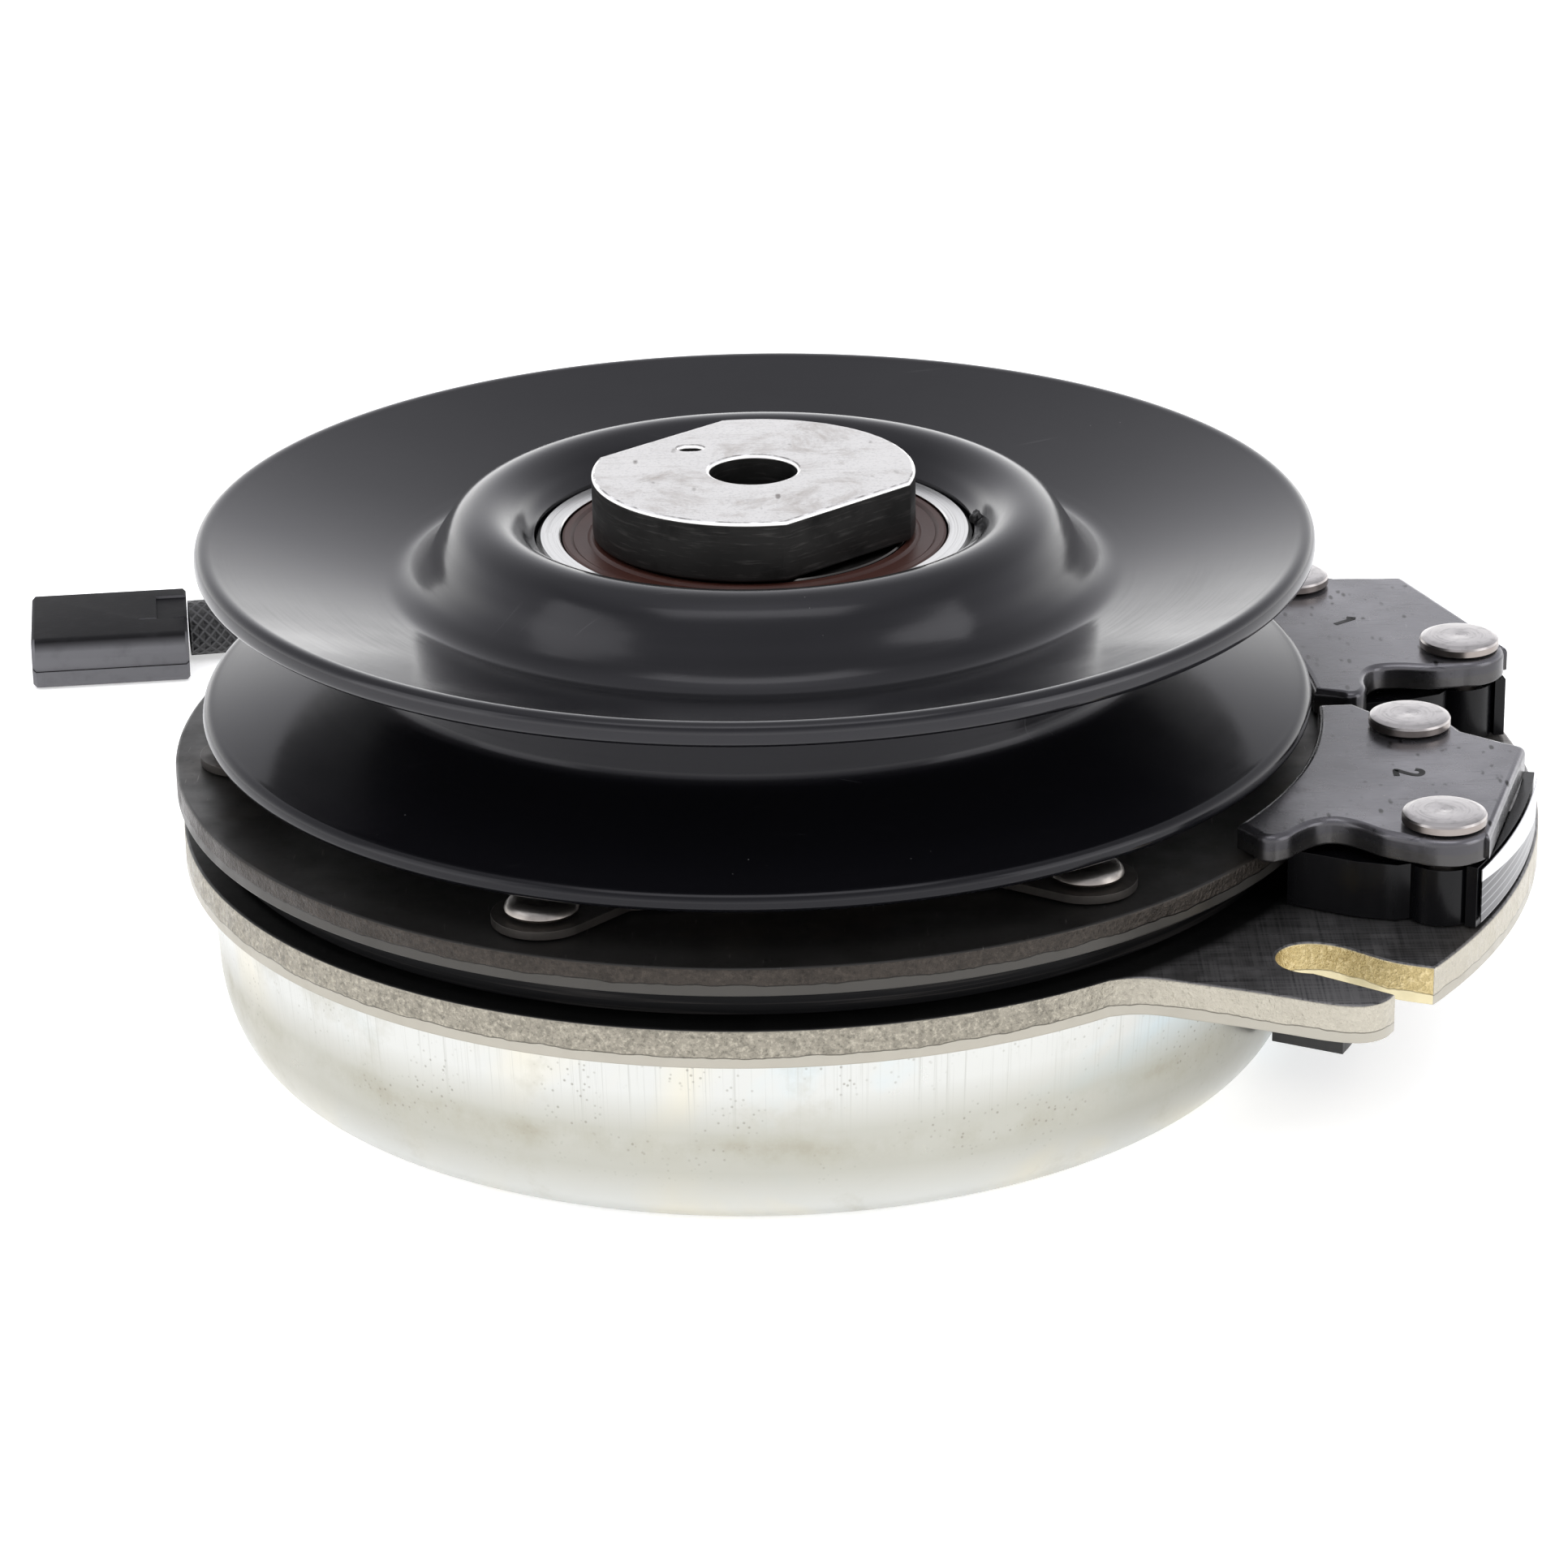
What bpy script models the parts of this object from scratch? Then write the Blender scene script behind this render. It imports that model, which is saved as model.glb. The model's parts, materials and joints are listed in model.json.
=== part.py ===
"""Electromagnetic power take-off clutch with a V-belt pulley and a magnet brake.

The shaft axis is Z. The foot of the field shell stands on z = 0 and +Z points at
the collar that takes the crankshaft bolt. All sizes are in millimetres.
"""
import math

import bmesh
import bpy
from mathutils import Matrix, Vector
from mathutils.geometry import tessellate_polygon

MM = 0.001
GAP = 0.3            # clearance left between neighbouring pieces
RING = 48            # facets of the large turned pieces
SMALL = 14           # facets of pins, rivets and bosses

# Field: shell, plate, coil and inner pole
SHELL_R_TOP, SHELL_R_LOW, SHELL_WALL = 79.85, 79.0, 3.0
SHELL_TOP, SHELL_CORNER_R, SHELL_CORNER_H = 26.2, 6.6, 13.3
SHELL_EYE_R = 30.0
PLATE_Z0, PLATE_Z1 = 26.5, 32.0
PLATE_R, PLATE_OPENING_R, TAIL_R = 83.0, 73.5, 112.0
POLE_R0, POLE_R1 = 31.3, 36.0
BOBBIN_R0, BOBBIN_R1, BOBBIN_Z0, BOBBIN_Z1 = 43.2, 65.6, 3.3, 27.0

# Rotor
ROTOR_Z0, ROTOR_Z1, ROTOR_R = 32.3, 36.75, 79.0
ROTOR_SKIRT_Z = 8.0
HUB_R, CRANK_R = 17.35, 12.7
HUB_Z0, HUB_Z1 = 0.8, 72.0
KEYWAY_W, KEYWAY_DEPTH = 6.35, 2.4
COLLAR_R, COLLAR_Z0, COLLAR_Z1 = 22.95, 72.3, 81.0
COLLAR_FLAT, COLLAR_FLAT_ANGLE = 19.7, -47.7
BOLT_HOLE_R = 6.25

# Bearings, 35 x 62 x 14
BEARING_BORE_R, BEARING_OD_R, BEARING_W = 17.6, 31.0, 14.0
BALL_PITCH_R, BALL_R, BALLS = 24.4, 4.1, 9
FIELD_BEARING_Z, PULLEY_BEARING_Z = 3.6, 58.0

# Armature, springs, rivets
ARM_Z0, ARM_Z1, ARM_R0, ARM_R1 = 37.2, 41.2, 48.0, 83.7
RIVET_CIRCLE, POST_CIRCLE = 73.3, 56.5
FIRST_SPRING = -83.1
SPRING_Z0, SPRING_Z1, SPRING_EYE_R = 41.5, 42.7, 6.8

# Brake modules
HOUSING_Z1, SHIM_Z0, SHIM_Z1 = 40.4, 40.7, 41.2
BRAKE_Z0, BRAKE_Z1 = 41.5, 45.3
PIN_HEAD_Z0, PIN_HEAD_Z1, PIN_HEAD_R, PIN_R = 45.6, 47.3, 5.8, 2.9
BOSS_R = 5.2
WALL_R0, WALL_R1, WALL_Z1 = 109.6, 111.2, 41.1   # curved outer wall of the housing
PINS = ((104.9, -27.5), (93.3, -7.8))      # radius and angle in module 2
MODULE_STEP = 37.5                         # module 1 is module 2 turned by this

# Lead and connector
LEAD_R = 4.75
LEAD_ROUTE = ((85.1, -15.8, 19.0), (87.3, 2.0, 18.6), (86.6, 16.0, 15.6), (82.6, 31.5, 9.8),
              (75.2, 45.6, 5.6), (64.8, 60.6, 4.9), (50.0, 74.5, 4.9), (30.0, 88.5, 4.9),
              (5.0, 104.0, 4.9), (-22.0, 121.5, 4.9), (-48.0, 136.5, 4.9),
              (-72.0, 144.0, 4.9), (-88.0, 144.9, 4.9))
LEAD_POINTS = 24
CONNECTOR_AT, CONNECTOR_TURN = (-97.0, 130.8), 186.6
CONNECTOR_L, CONNECTOR_W, CONNECTOR_H = 26.5, 25.5, 8.0


def polar(radius, degrees):
    a = math.radians(degrees)
    return (radius * math.cos(a), radius * math.sin(a))


def arc(cx, cy, radius, a0, a1, steps):
    return [(cx + radius * math.cos(math.radians(a0 + (a1 - a0) * i / steps)),
             cy + radius * math.sin(math.radians(a0 + (a1 - a0) * i / steps)))
            for i in range(steps + 1)]


def circle(cx, cy, radius, facets=SMALL):
    return arc(cx, cy, radius, 0.0, 360.0, facets)[:-1]


def finish(bm, name, smooth=False):
    bmesh.ops.recalc_face_normals(bm, faces=bm.faces)
    mesh = bpy.data.meshes.new(name)
    bm.to_mesh(mesh)
    bm.free()
    if smooth:
        mesh.polygons.foreach_set("use_smooth", [True] * len(mesh.polygons))
        mesh.set_sharp_from_angle(angle=math.radians(28))
    obj = bpy.data.objects.new(name, mesh)
    bpy.context.scene.collection.objects.link(obj)
    return obj


def turned(name, profile, centre=(0.0, 0.0), facets=RING):
    """Turn a closed (radius, z) profile round a vertical line through centre."""
    bm = bmesh.new()
    columns = []
    for i in range(facets):
        a = 2 * math.pi * i / facets
        columns.append([bm.verts.new(((centre[0] + r * math.cos(a)) * MM,
                                      (centre[1] + r * math.sin(a)) * MM, z * MM))
                        for r, z in profile])
    n = len(profile)
    for i in range(facets):
        here, there = columns[i], columns[(i + 1) % facets]
        for j in range(n):
            k = (j + 1) % n
            bm.faces.new((here[j], there[j], there[k], here[k]))
    return finish(bm, name, True)


def peg(name, profile, centre, facets=SMALL):
    """Turn an open (radius, z) profile, bottom to top, and cap both ends."""
    bm = bmesh.new()
    rings = [[bm.verts.new(((centre[0] + r * math.cos(2 * math.pi * i / facets)) * MM,
                            (centre[1] + r * math.sin(2 * math.pi * i / facets)) * MM,
                            z * MM)) for i in range(facets)] for r, z in profile]
    for low, high in zip(rings, rings[1:]):
        for i in range(facets):
            j = (i + 1) % facets
            bm.faces.new((low[i], low[j], high[j], high[i]))
    bm.faces.new(rings[0])
    bm.faces.new(rings[-1])
    return finish(bm, name, True)


def plate(name, loops, z0, z1):
    """Flat plate from an outline followed by its holes."""
    bm = bmesh.new()
    low = [[bm.verts.new((x * MM, y * MM, z0 * MM)) for x, y in loop] for loop in loops]
    high = [[bm.verts.new((x * MM, y * MM, z1 * MM)) for x, y in loop] for loop in loops]
    for bottom, top in zip(low, high):
        for i in range(len(bottom)):
            j = (i + 1) % len(bottom)
            bm.faces.new((bottom[i], bottom[j], top[j], top[i]))
    flat_low = [v for loop in low for v in loop]
    flat_high = [v for loop in high for v in loop]
    cells = tessellate_polygon([[Vector((x, y, 0.0)) for x, y in loop] for loop in loops])
    for cell in cells:
        bm.faces.new([flat_low[i] for i in cell])
        bm.faces.new([flat_high[i] for i in cell])
    return finish(bm, name)


def block(name, x0, x1, y0, y1, z0, z1):
    return plate(name, [[(x0, y0), (x1, y0), (x1, y1), (x0, y1)]], z0, z1)


def merge(name, pieces):
    """Put several separate bodies in one object, used as a single cutting tool."""
    bm = bmesh.new()
    for piece in pieces:
        bm.from_mesh(piece.data)
        bpy.data.objects.remove(piece, do_unlink=True)
    return finish(bm, name)


def combine(target, tool, operation):
    tool.hide_render = True
    tool.display_type = "WIRE"
    step = target.modifiers.new(operation.title(), "BOOLEAN")
    step.operation = operation
    step.solver = "EXACT"
    step.object = tool


def place(obj, x=0.0, y=0.0, z=0.0, turn=0.0):
    obj.data.transform(Matrix.Translation((x * MM, y * MM, z * MM))
                       @ Matrix.Rotation(math.radians(turn), 4, "Z"))
    return obj


def turn_points(points, degrees):
    c, s = math.cos(math.radians(degrees)), math.sin(math.radians(degrees))
    return [(x * c - y * s, x * s + y * c) for x, y in points]


def clear_scene():
    for obj in list(bpy.data.objects):
        bpy.data.objects.remove(obj, do_unlink=True)


# ---------------------------------------------------------------- field

def pin_places(module):
    turn = MODULE_STEP if module == 1 else 0.0
    return [polar(r, a + turn) for r, a in PINS]


def field_plate_outline():
    """Round plate with a tail that carries the brake and the anti-rotation slot."""
    rim = arc(0, 0, PLATE_R, 58, 304, 32)
    hook = [(48.0, -67.4), (52.9, -68.4), (58.0, -70.4), (63.2, -72.4), (68.9, -74.8),
            (74.5, -77.3), (78.5, -78.3), (80.6, -77.9), (82.3, -76.6), (83.7, -74.8)]
    slot = [(83.9, -74.4), (73.8, -67.5)] + arc(74.1, -62.6, 4.9, -112, -270, 6)
    slot += [(76.3, -58.15), (78.9, -59.6), (81.5, -61.9), (84.1, -64.0), (86.8, -65.4),
             (90.0, -66.6)]
    tail = arc(0, 0, TAIL_R, -35.8, 36, 14)
    back = [(86.0, 68.4), (78.0, 71.0), (66.0, 72.2), (55.0, 73.0), (49.0, 73.0)]
    return rim + hook + slot[1:] + tail + back


def build_field():
    a, b = SHELL_CORNER_R, SHELL_CORNER_H
    outer = [(SHELL_R_LOW - a + a * math.cos(math.radians(t)),
              b - b * math.sin(math.radians(t))) for t in (0, 22, 45, 68, 90)]
    inner = [(r - SHELL_WALL, max(z, 0.0) + SHELL_WALL * (1 - z / b)) for r, z in outer]
    turned("field_shell", [(SHELL_R_TOP, SHELL_TOP)] + outer
           + [(SHELL_EYE_R, 0.0), (SHELL_EYE_R, SHELL_WALL)] + inner[::-1]
           + [(SHELL_R_TOP - SHELL_WALL, SHELL_TOP)])
    holes = [circle(0, 0, PLATE_OPENING_R, RING)]
    holes += [circle(x, y, PIN_R + GAP) for m in (1, 2) for x, y in pin_places(m)]
    plate("field_plate", [field_plate_outline()] + holes, PLATE_Z0, PLATE_Z1)
    turned("field_inner_pole", [(POLE_R0, 3.3), (POLE_R1, 3.3), (POLE_R1, 28.0),
                                (POLE_R0, 28.0)])
    turned("coil_bobbin", [(BOBBIN_R0, BOBBIN_Z0), (BOBBIN_R1, BOBBIN_Z0),
                           (BOBBIN_R1, BOBBIN_Z0 + 1.5), (BOBBIN_R0 + 1.6, BOBBIN_Z0 + 1.5),
                           (BOBBIN_R0 + 1.6, BOBBIN_Z1 - 1.5), (BOBBIN_R1, BOBBIN_Z1 - 1.5),
                           (BOBBIN_R1, BOBBIN_Z1), (BOBBIN_R0, BOBBIN_Z1)])
    turned("coil_winding", [(BOBBIN_R0 + 1.9, BOBBIN_Z0 + 1.8), (64.6, BOBBIN_Z0 + 1.8),
                            (64.6, BOBBIN_Z1 - 1.8), (BOBBIN_R0 + 1.9, BOBBIN_Z1 - 1.8)])


# ---------------------------------------------------------------- bearings

def build_bearing(prefix, z0, seal_names, hidden_names):
    mid, z1 = z0 + BEARING_W / 2, z0 + BEARING_W
    groove = BALL_R + 0.35
    inner_shoulder, outer_shoulder = 21.9, 27.6

    def groove_points(shoulder, side):
        reach = math.degrees(math.acos(abs(shoulder - BALL_PITCH_R) / groove))
        centre = 180 if side < 0 else 0
        return arc(BALL_PITCH_R, mid, groove, centre + reach * side,
                   centre - reach * side, 4)

    turned(prefix + "_inner_race",
           [(BEARING_BORE_R, z0), (inner_shoulder, z0)]
           + [(r, z) for r, z in sorted(groove_points(inner_shoulder, -1), key=lambda p: p[1])]
           + [(inner_shoulder, z1), (BEARING_BORE_R, z1)], facets=32)
    turned(prefix + "_outer_race",
           [(BEARING_OD_R, z0), (BEARING_OD_R, z1), (outer_shoulder, z1)]
           + [(r, z) for r, z in sorted(groove_points(outer_shoulder, 1),
                                        key=lambda p: -p[1])]
           + [(outer_shoulder, z0)], facets=32)
    cage = turned(prefix + "_cage", [(23.4, mid - 1.6), (25.4, mid - 1.6),
                                     (25.4, mid + 1.6), (23.4, mid + 1.6)], facets=32)
    bm = bmesh.new()
    for i in range(BALLS):
        x, y = polar(BALL_PITCH_R, 360.0 * i / BALLS)
        bmesh.ops.create_uvsphere(bm, u_segments=8, v_segments=6, radius=BALL_R * MM,
                                  matrix=Matrix.Translation((x * MM, y * MM, mid * MM)))
    combine(cage, finish(bm, hidden_names + "_balls"), "UNION")
    for name, low in seal_names:
        turned(name, [(inner_shoulder + GAP, low), (outer_shoulder - GAP, low),
                      (outer_shoulder - GAP, low + 0.8), (inner_shoulder + GAP, low + 0.8)],
               facets=32)


# ---------------------------------------------------------------- rotor

def build_rotor():
    disc = turned("rotor_disc",
                  [(HUB_R + GAP, ROTOR_Z0), (36.6, ROTOR_Z0), (36.6, ROTOR_SKIRT_Z),
                   (42.0, ROTOR_SKIRT_Z), (42.0, ROTOR_Z0), (66.5, ROTOR_Z0),
                   (66.5, ROTOR_SKIRT_Z), (73.0, ROTOR_SKIRT_Z), (73.0, ROTOR_Z0 + 0.2),
                   (ROTOR_R, ROTOR_Z0 + 0.2), (ROTOR_R, ROTOR_Z1), (HUB_R + GAP, ROTOR_Z1)])
    slots = []
    for i in range(6):
        outline = (arc(0, 0, 61.5, 60 * i - 22.3, 60 * i + 22.3, 6)
                   + arc(0, 0, 58.3, 60 * i + 22.3, 60 * i - 22.3, 6))
        slots.append(plate("slot_%d" % (i + 1), [outline], ROTOR_Z0 - 2.1, ROTOR_Z1 + 2.1))
    combine(disc, merge("slot_cutters", slots), "DIFFERENCE")
    hub = turned("rotor_hub", [(CRANK_R, HUB_Z0), (HUB_R - 0.6, HUB_Z0), (HUB_R, HUB_Z0 + 0.6),
                               (HUB_R, HUB_Z1), (CRANK_R, HUB_Z1)])
    keyway = block("keyway_cutter", -KEYWAY_W / 2, KEYWAY_W / 2, CRANK_R - 3,
                   CRANK_R + KEYWAY_DEPTH, -5, HUB_Z1 - 8)
    combine(hub, keyway, "DIFFERENCE")

    half = math.degrees(math.acos(COLLAR_FLAT / COLLAR_R))
    outline = (arc(0, 0, COLLAR_R, COLLAR_FLAT_ANGLE + half,
                   COLLAR_FLAT_ANGLE + 180 - half, 18)
               + arc(0, 0, COLLAR_R, COLLAR_FLAT_ANGLE + 180 + half,
                     COLLAR_FLAT_ANGLE + 360 - half, 18))
    x, y = polar(13.4, COLLAR_FLAT_ANGLE + 180)
    gauge_hole = ([(x + 0.6 + u, y + v) for u, v in arc(0, 0, 1.1, -90, 90, 4)]
                  + [(x - 0.6 + u, y + v) for u, v in arc(0, 0, 1.1, 90, 270, 4)])
    plate("hub_collar", [outline, circle(0, 0, BOLT_HOLE_R, 28), gauge_hole],
          COLLAR_Z0, COLLAR_Z1)


# ---------------------------------------------------------------- pulley

def build_pulley():
    top = [(77.7, 73.4), (78.6, 73.15), (79.25, 72.5), (79.4, 71.5), (79.3, 70.6),
           (78.7, 70.15)]
    upper = ([(31.3, 72.5), (33.0, 72.9), (34.3, 74.6), (36.3, 76.2), (38.3, 76.6),
              (40.5, 76.2), (42.6, 74.9), (44.7, 72.2), (46.6, 69.2), (48.6, 67.0),
              (51.0, 66.3), (54.0, 66.9)]
             + top + [(56.0, 63.9), (52.0, 63.2), (47.2, 63.5), (45.0, 65.2), (42.6, 69.6),
                      (40.6, 72.6), (38.3, 73.5), (36.2, 72.6), (34.6, 70.5), (34.3, 68.0),
                      (34.3, 57.7), (31.3, 57.7)])
    turned("pulley_upper_flange", upper)
    rim = [(77.7, 49.75), (78.4, 49.6), (79.15, 49.1), (79.4, 48.2), (79.3, 47.4),
           (78.6, 47.05)]
    lower = ([(48.0, 62.9), (54.4, 62.9), (55.6, 62.2), (56.0, 60.9), (56.0, 57.2),
              (56.6, 55.9), (58.0, 55.1)] + rim
             + [(54.6, 53.4), (53.3, 54.4), (52.8, 56.0), (52.8, 60.1), (48.0, 60.1)])
    turned("pulley_lower_flange", lower)


def build_armature_and_springs():
    places = [(k, FIRST_SPRING + 120 * (k - 1)) for k in (1, 2, 3)]
    rivets = [polar(RIVET_CIRCLE, a + side) for _, a in places for side in (-30, 30)]
    holes = [circle(0, 0, ARM_R0, RING)]
    holes += [circle(x, y, 2.8, 12) for x, y in rivets]
    holes += [circle(*polar(POST_CIRCLE, a), 6.2) for _, a in places]
    plate("armature_disc", [circle(0, 0, ARM_R1, RING)] + holes, ARM_Z0, ARM_Z1)
    for i, centre in enumerate(rivets):
        peg("armature_rivet_%d" % (i + 1),
            [(2.4, ARM_Z0 + 0.4), (2.4, SPRING_Z1 + 0.5), (5.0, SPRING_Z1 + 0.5),
             (4.9, SPRING_Z1 + 1.1), (3.9, SPRING_Z1 + 1.9), (2.2, SPRING_Z1 + 2.4)], centre, 12)
    eye_x, eye_y = polar(RIVET_CIRCLE, 30)
    for k, a in places:
        bow = (arc(eye_x, eye_y, SPRING_EYE_R, -40, 140, 8) + [(50.5, 31.7), (50.5, -31.7)]
               + arc(eye_x, -eye_y, SPRING_EYE_R, 220, 400, 8)
               + [(62.5, -24.9), (62.5, 24.9)])
        loops = [bow, circle(POST_CIRCLE, 0, 3.1, 12), circle(eye_x, eye_y, 2.8, 12),
                 circle(eye_x, -eye_y, 2.8, 12)]
        plate("leaf_spring_%d" % k, [turn_points(loop, a) for loop in loops],
              SPRING_Z0, SPRING_Z1)
        peg("spring_post_%d" % k, [(4.8, 39.9), (4.8, 41.2), (2.8, 41.2), (2.8, 43.0),
                                   (4.9, 43.0), (4.9, 51.0)], polar(POST_CIRCLE, a), 12)


# ---------------------------------------------------------------- brake

def brake_plate_outline():
    """Brake pole plate of module 2: concave pole face, prong, two pin lobes."""
    face = arc(0, 0, 80.5, -36, -2.5, 11)
    near_pin = polar(*PINS[1])
    rear = [(85.5, -3.2)] + arc(near_pin[0], near_pin[1], 6.3, 125, 10, 5)
    side = [(101.8, -16.2), (106.9, -20.4), (107.7, -21.2)]
    far_pin = polar(*PINS[0])
    front = [(98.7, -52.8)] + arc(far_pin[0], far_pin[1], 6.6, -38, -128, 5)
    scoop = [(86.9, -52.3), (84.3, -51.4), (81.4, -48.0), (78.6, -46.3), (76.0, -46.8),
             (73.6, -49.0), (71.8, -51.2), (69.4, -52.5), (67.6, -51.6)]
    return face + rear + side + front + scoop


def housing_outline():
    """Block of the magnet housing of module 2, without its pin bosses."""
    face = arc(0, 0, 85.2, -32, -4.5, 8)
    return face + [(95.5, -8.2), (99.6, -14.5), (101.5, -20.0), (97.5, -36.0),
                   (91.0, -50.0), (86.5, -51.3), (81.0, -49.8)]


def build_brake():
    for module in (1, 2):
        turn = MODULE_STEP if module == 1 else 0.0
        pins = [polar(r, a) for r, a in PINS]
        pin_holes = [circle(x, y, PIN_R + GAP) for x, y in pins]
        tag = "_%d" % module
        loops = [brake_plate_outline()] + pin_holes
        place(plate("brake_plate" + tag, loops, BRAKE_Z0, BRAKE_Z1), turn=turn)
        shim = [turn_points([(84.5, -7.0), (84.5, 8.5), (98.5, 13.0), (98.5, -12.0)], -18)]
        place(plate("brake_shim" + tag, shim, SHIM_Z0, SHIM_Z1), turn=turn)

        body = place(plate("magnet_housing" + tag, [housing_outline()],
                           PLATE_Z1 + GAP, HOUSING_Z1), turn=turn)
        wall = arc(0, 0, WALL_R0, -29.3, -10.6, 8) + arc(0, 0, WALL_R1, -10.6, -29.3, 8)
        web = arc(0, 0, 97.0, -26, -17, 3) + arc(0, 0, WALL_R0 + 0.8, -17, -26, 3)
        for word, outline, top in (("wall", wall, WALL_Z1), ("web", web, HOUSING_Z1 - 0.4)):
            tool = plate("%s_tool%s" % (word, tag), [outline], PLATE_Z1 + GAP, top)
            combine(body, place(tool, turn=turn), "UNION")
        for i, (x, y) in enumerate(pins):
            boss = plate("boss_tool%s_%d" % (tag, i + 1), [circle(x, y, BOSS_R, 16)],
                         PLATE_Z1 + GAP, HOUSING_Z1)
            combine(body, place(boss, turn=turn), "UNION")
            bore = plate("bore_tool%s_%d" % (tag, i + 1), [circle(x, y, PIN_R + GAP)],
                         PLATE_Z1 - 2, HOUSING_Z1 + 2)
            combine(body, place(bore, turn=turn), "DIFFERENCE")
        for i, side in enumerate((-24.0, -13.0)):
            cx, cy = polar(92.6, side)
            pocket = turn_points([(-5.3, -4.3), (5.3, -4.3), (5.3, 4.3), (-5.3, 4.3)], side)
            magnet = turn_points([(-5.0, -4.0), (5.0, -4.0), (5.0, 4.0), (-5.0, 4.0)], side)
            tool = plate("pocket_tool%s_%d" % (tag, i + 1),
                         [[(cx + x, cy + y) for x, y in pocket]], 33.6, HOUSING_Z1 + 2)
            combine(body, place(tool, turn=turn), "DIFFERENCE")
            place(plate("brake_magnet_%d" % (2 * module - 1 + i),
                        [[(cx + x, cy + y) for x, y in magnet]], 33.9, HOUSING_Z1), turn=turn)
        for i, (x, y) in enumerate(pins):
            place(peg("brake_pin_%d" % (2 * module - 1 + i),
                      [(PIN_R, 26.8), (PIN_R, PIN_HEAD_Z0), (PIN_HEAD_R, PIN_HEAD_Z0),
                       (PIN_HEAD_R, PIN_HEAD_Z1 - 0.35), (PIN_HEAD_R - 0.35, PIN_HEAD_Z1)],
                      (x, y), 16), turn=turn)
    label = (arc(0, 0, WALL_R1 + GAP, -28.9, -11.2, 7)
             + arc(0, 0, WALL_R1 + GAP + 0.2, -11.2, -28.9, 7))
    plate("label_foil", [label], PLATE_Z1 + 0.9, WALL_Z1 - 0.4)


# ---------------------------------------------------------------- lead

def smooth_route(route, count):
    """Points at even steps along one smooth curve through the route's own points."""
    knots = [Vector(p) for p in route]
    knots = [2 * knots[0] - knots[1]] + knots + [2 * knots[-1] - knots[-2]]
    fine = []
    for i in range(1, len(knots) - 2):
        a, b, c, d = knots[i - 1:i + 3]
        for k in range(20):
            t = k / 20
            fine.append(0.5 * (2 * b + (c - a) * t + (2 * a - 5 * b + 4 * c - d) * t ** 2
                               + (3 * b - a - 3 * c + d) * t ** 3))
    fine.append(knots[-2])
    walked = [0.0]
    for a, b in zip(fine, fine[1:]):
        walked.append(walked[-1] + (b - a).length)
    points, j = [], 0
    for i in range(count):
        want = walked[-1] * i / (count - 1)
        while j < len(fine) - 2 and walked[j + 1] < want:
            j += 1
        t = (want - walked[j]) / (walked[j + 1] - walked[j])
        points.append(fine[j].lerp(fine[j + 1], min(t, 1.0)))
    return points


def connector_gate():
    """Middle of the connector's wire end, where the sleeve stops."""
    c, s = math.cos(math.radians(CONNECTOR_TURN)), math.sin(math.radians(CONNECTOR_TURN))
    return (CONNECTOR_AT[0] + s * CONNECTOR_W / 2 - c * GAP,
            CONNECTOR_AT[1] - c * CONNECTOR_W / 2 - s * GAP, LEAD_ROUTE[-1][2])


def build_lead():
    grommet = (arc(0, 0, SHELL_R_TOP + GAP + 0.1, -33, -11, 5)
               + arc(0, 0, SHELL_R_TOP + 9.0, -11, -33, 5))
    plate("lead_grommet", [grommet], 7.5, PLATE_Z0 - GAP)

    curve = bpy.data.curves.new("lead_sleeve", "CURVE")
    curve.dimensions = "3D"
    curve.bevel_depth = LEAD_R * MM
    curve.bevel_resolution = 2
    curve.use_fill_caps = True
    spline = curve.splines.new("POLY")
    points = smooth_route(LEAD_ROUTE + (connector_gate(),), LEAD_POINTS)
    spline.points.add(len(points) - 1)
    for knot, p in zip(spline.points, points):
        knot.co = (p.x * MM, p.y * MM, p.z * MM, 1.0)
    sleeve = bpy.data.objects.new("lead_sleeve", curve)
    bpy.context.scene.collection.objects.link(sleeve)

    def seated(obj):
        return place(obj, CONNECTOR_AT[0], CONNECTOR_AT[1], turn=CONNECTOR_TURN)

    body = block("connector_body", 0, CONNECTOR_L, -CONNECTOR_W, 0, 0.0, CONNECTOR_H)
    cavity = block("socket_tool", CONNECTOR_L - 13, CONNECTOR_L + 2,
                   -CONNECTOR_W + 1.8, -1.8, 1.5, CONNECTOR_H - 1.5)
    combine(seated(body), seated(cavity), "DIFFERENCE")
    for i, y in enumerate((-8.2, -17.3)):
        seated(block("connector_terminal_%d" % (i + 1), CONNECTOR_L - 12.7, CONNECTOR_L - 6.5,
                     y - 1.6, y + 1.6, 3.6, 4.4))


clear_scene()
build_field()
build_bearing("field_bearing", FIELD_BEARING_Z,
              [("field_bearing_seal", FIELD_BEARING_Z + 0.3)], "field_cage")
build_bearing("pulley_bearing", PULLEY_BEARING_Z,
              [("pulley_bearing_seal_lower", PULLEY_BEARING_Z + 0.3),
               ("pulley_bearing_seal_upper", PULLEY_BEARING_Z + BEARING_W - 1.1)],
              "pulley_cage")
build_rotor()
build_pulley()
build_armature_and_springs()
build_brake()
build_lead()
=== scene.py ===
"""Looks of the power take-off clutch: fine meshes and procedural materials on the frame.

Lengths are in millimetres up to the helpers, which turn them into metres.
"""
import json
import math

import bmesh
import bpy
from mathutils import Matrix, Vector
from mathutils.geometry import tessellate_polygon


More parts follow.
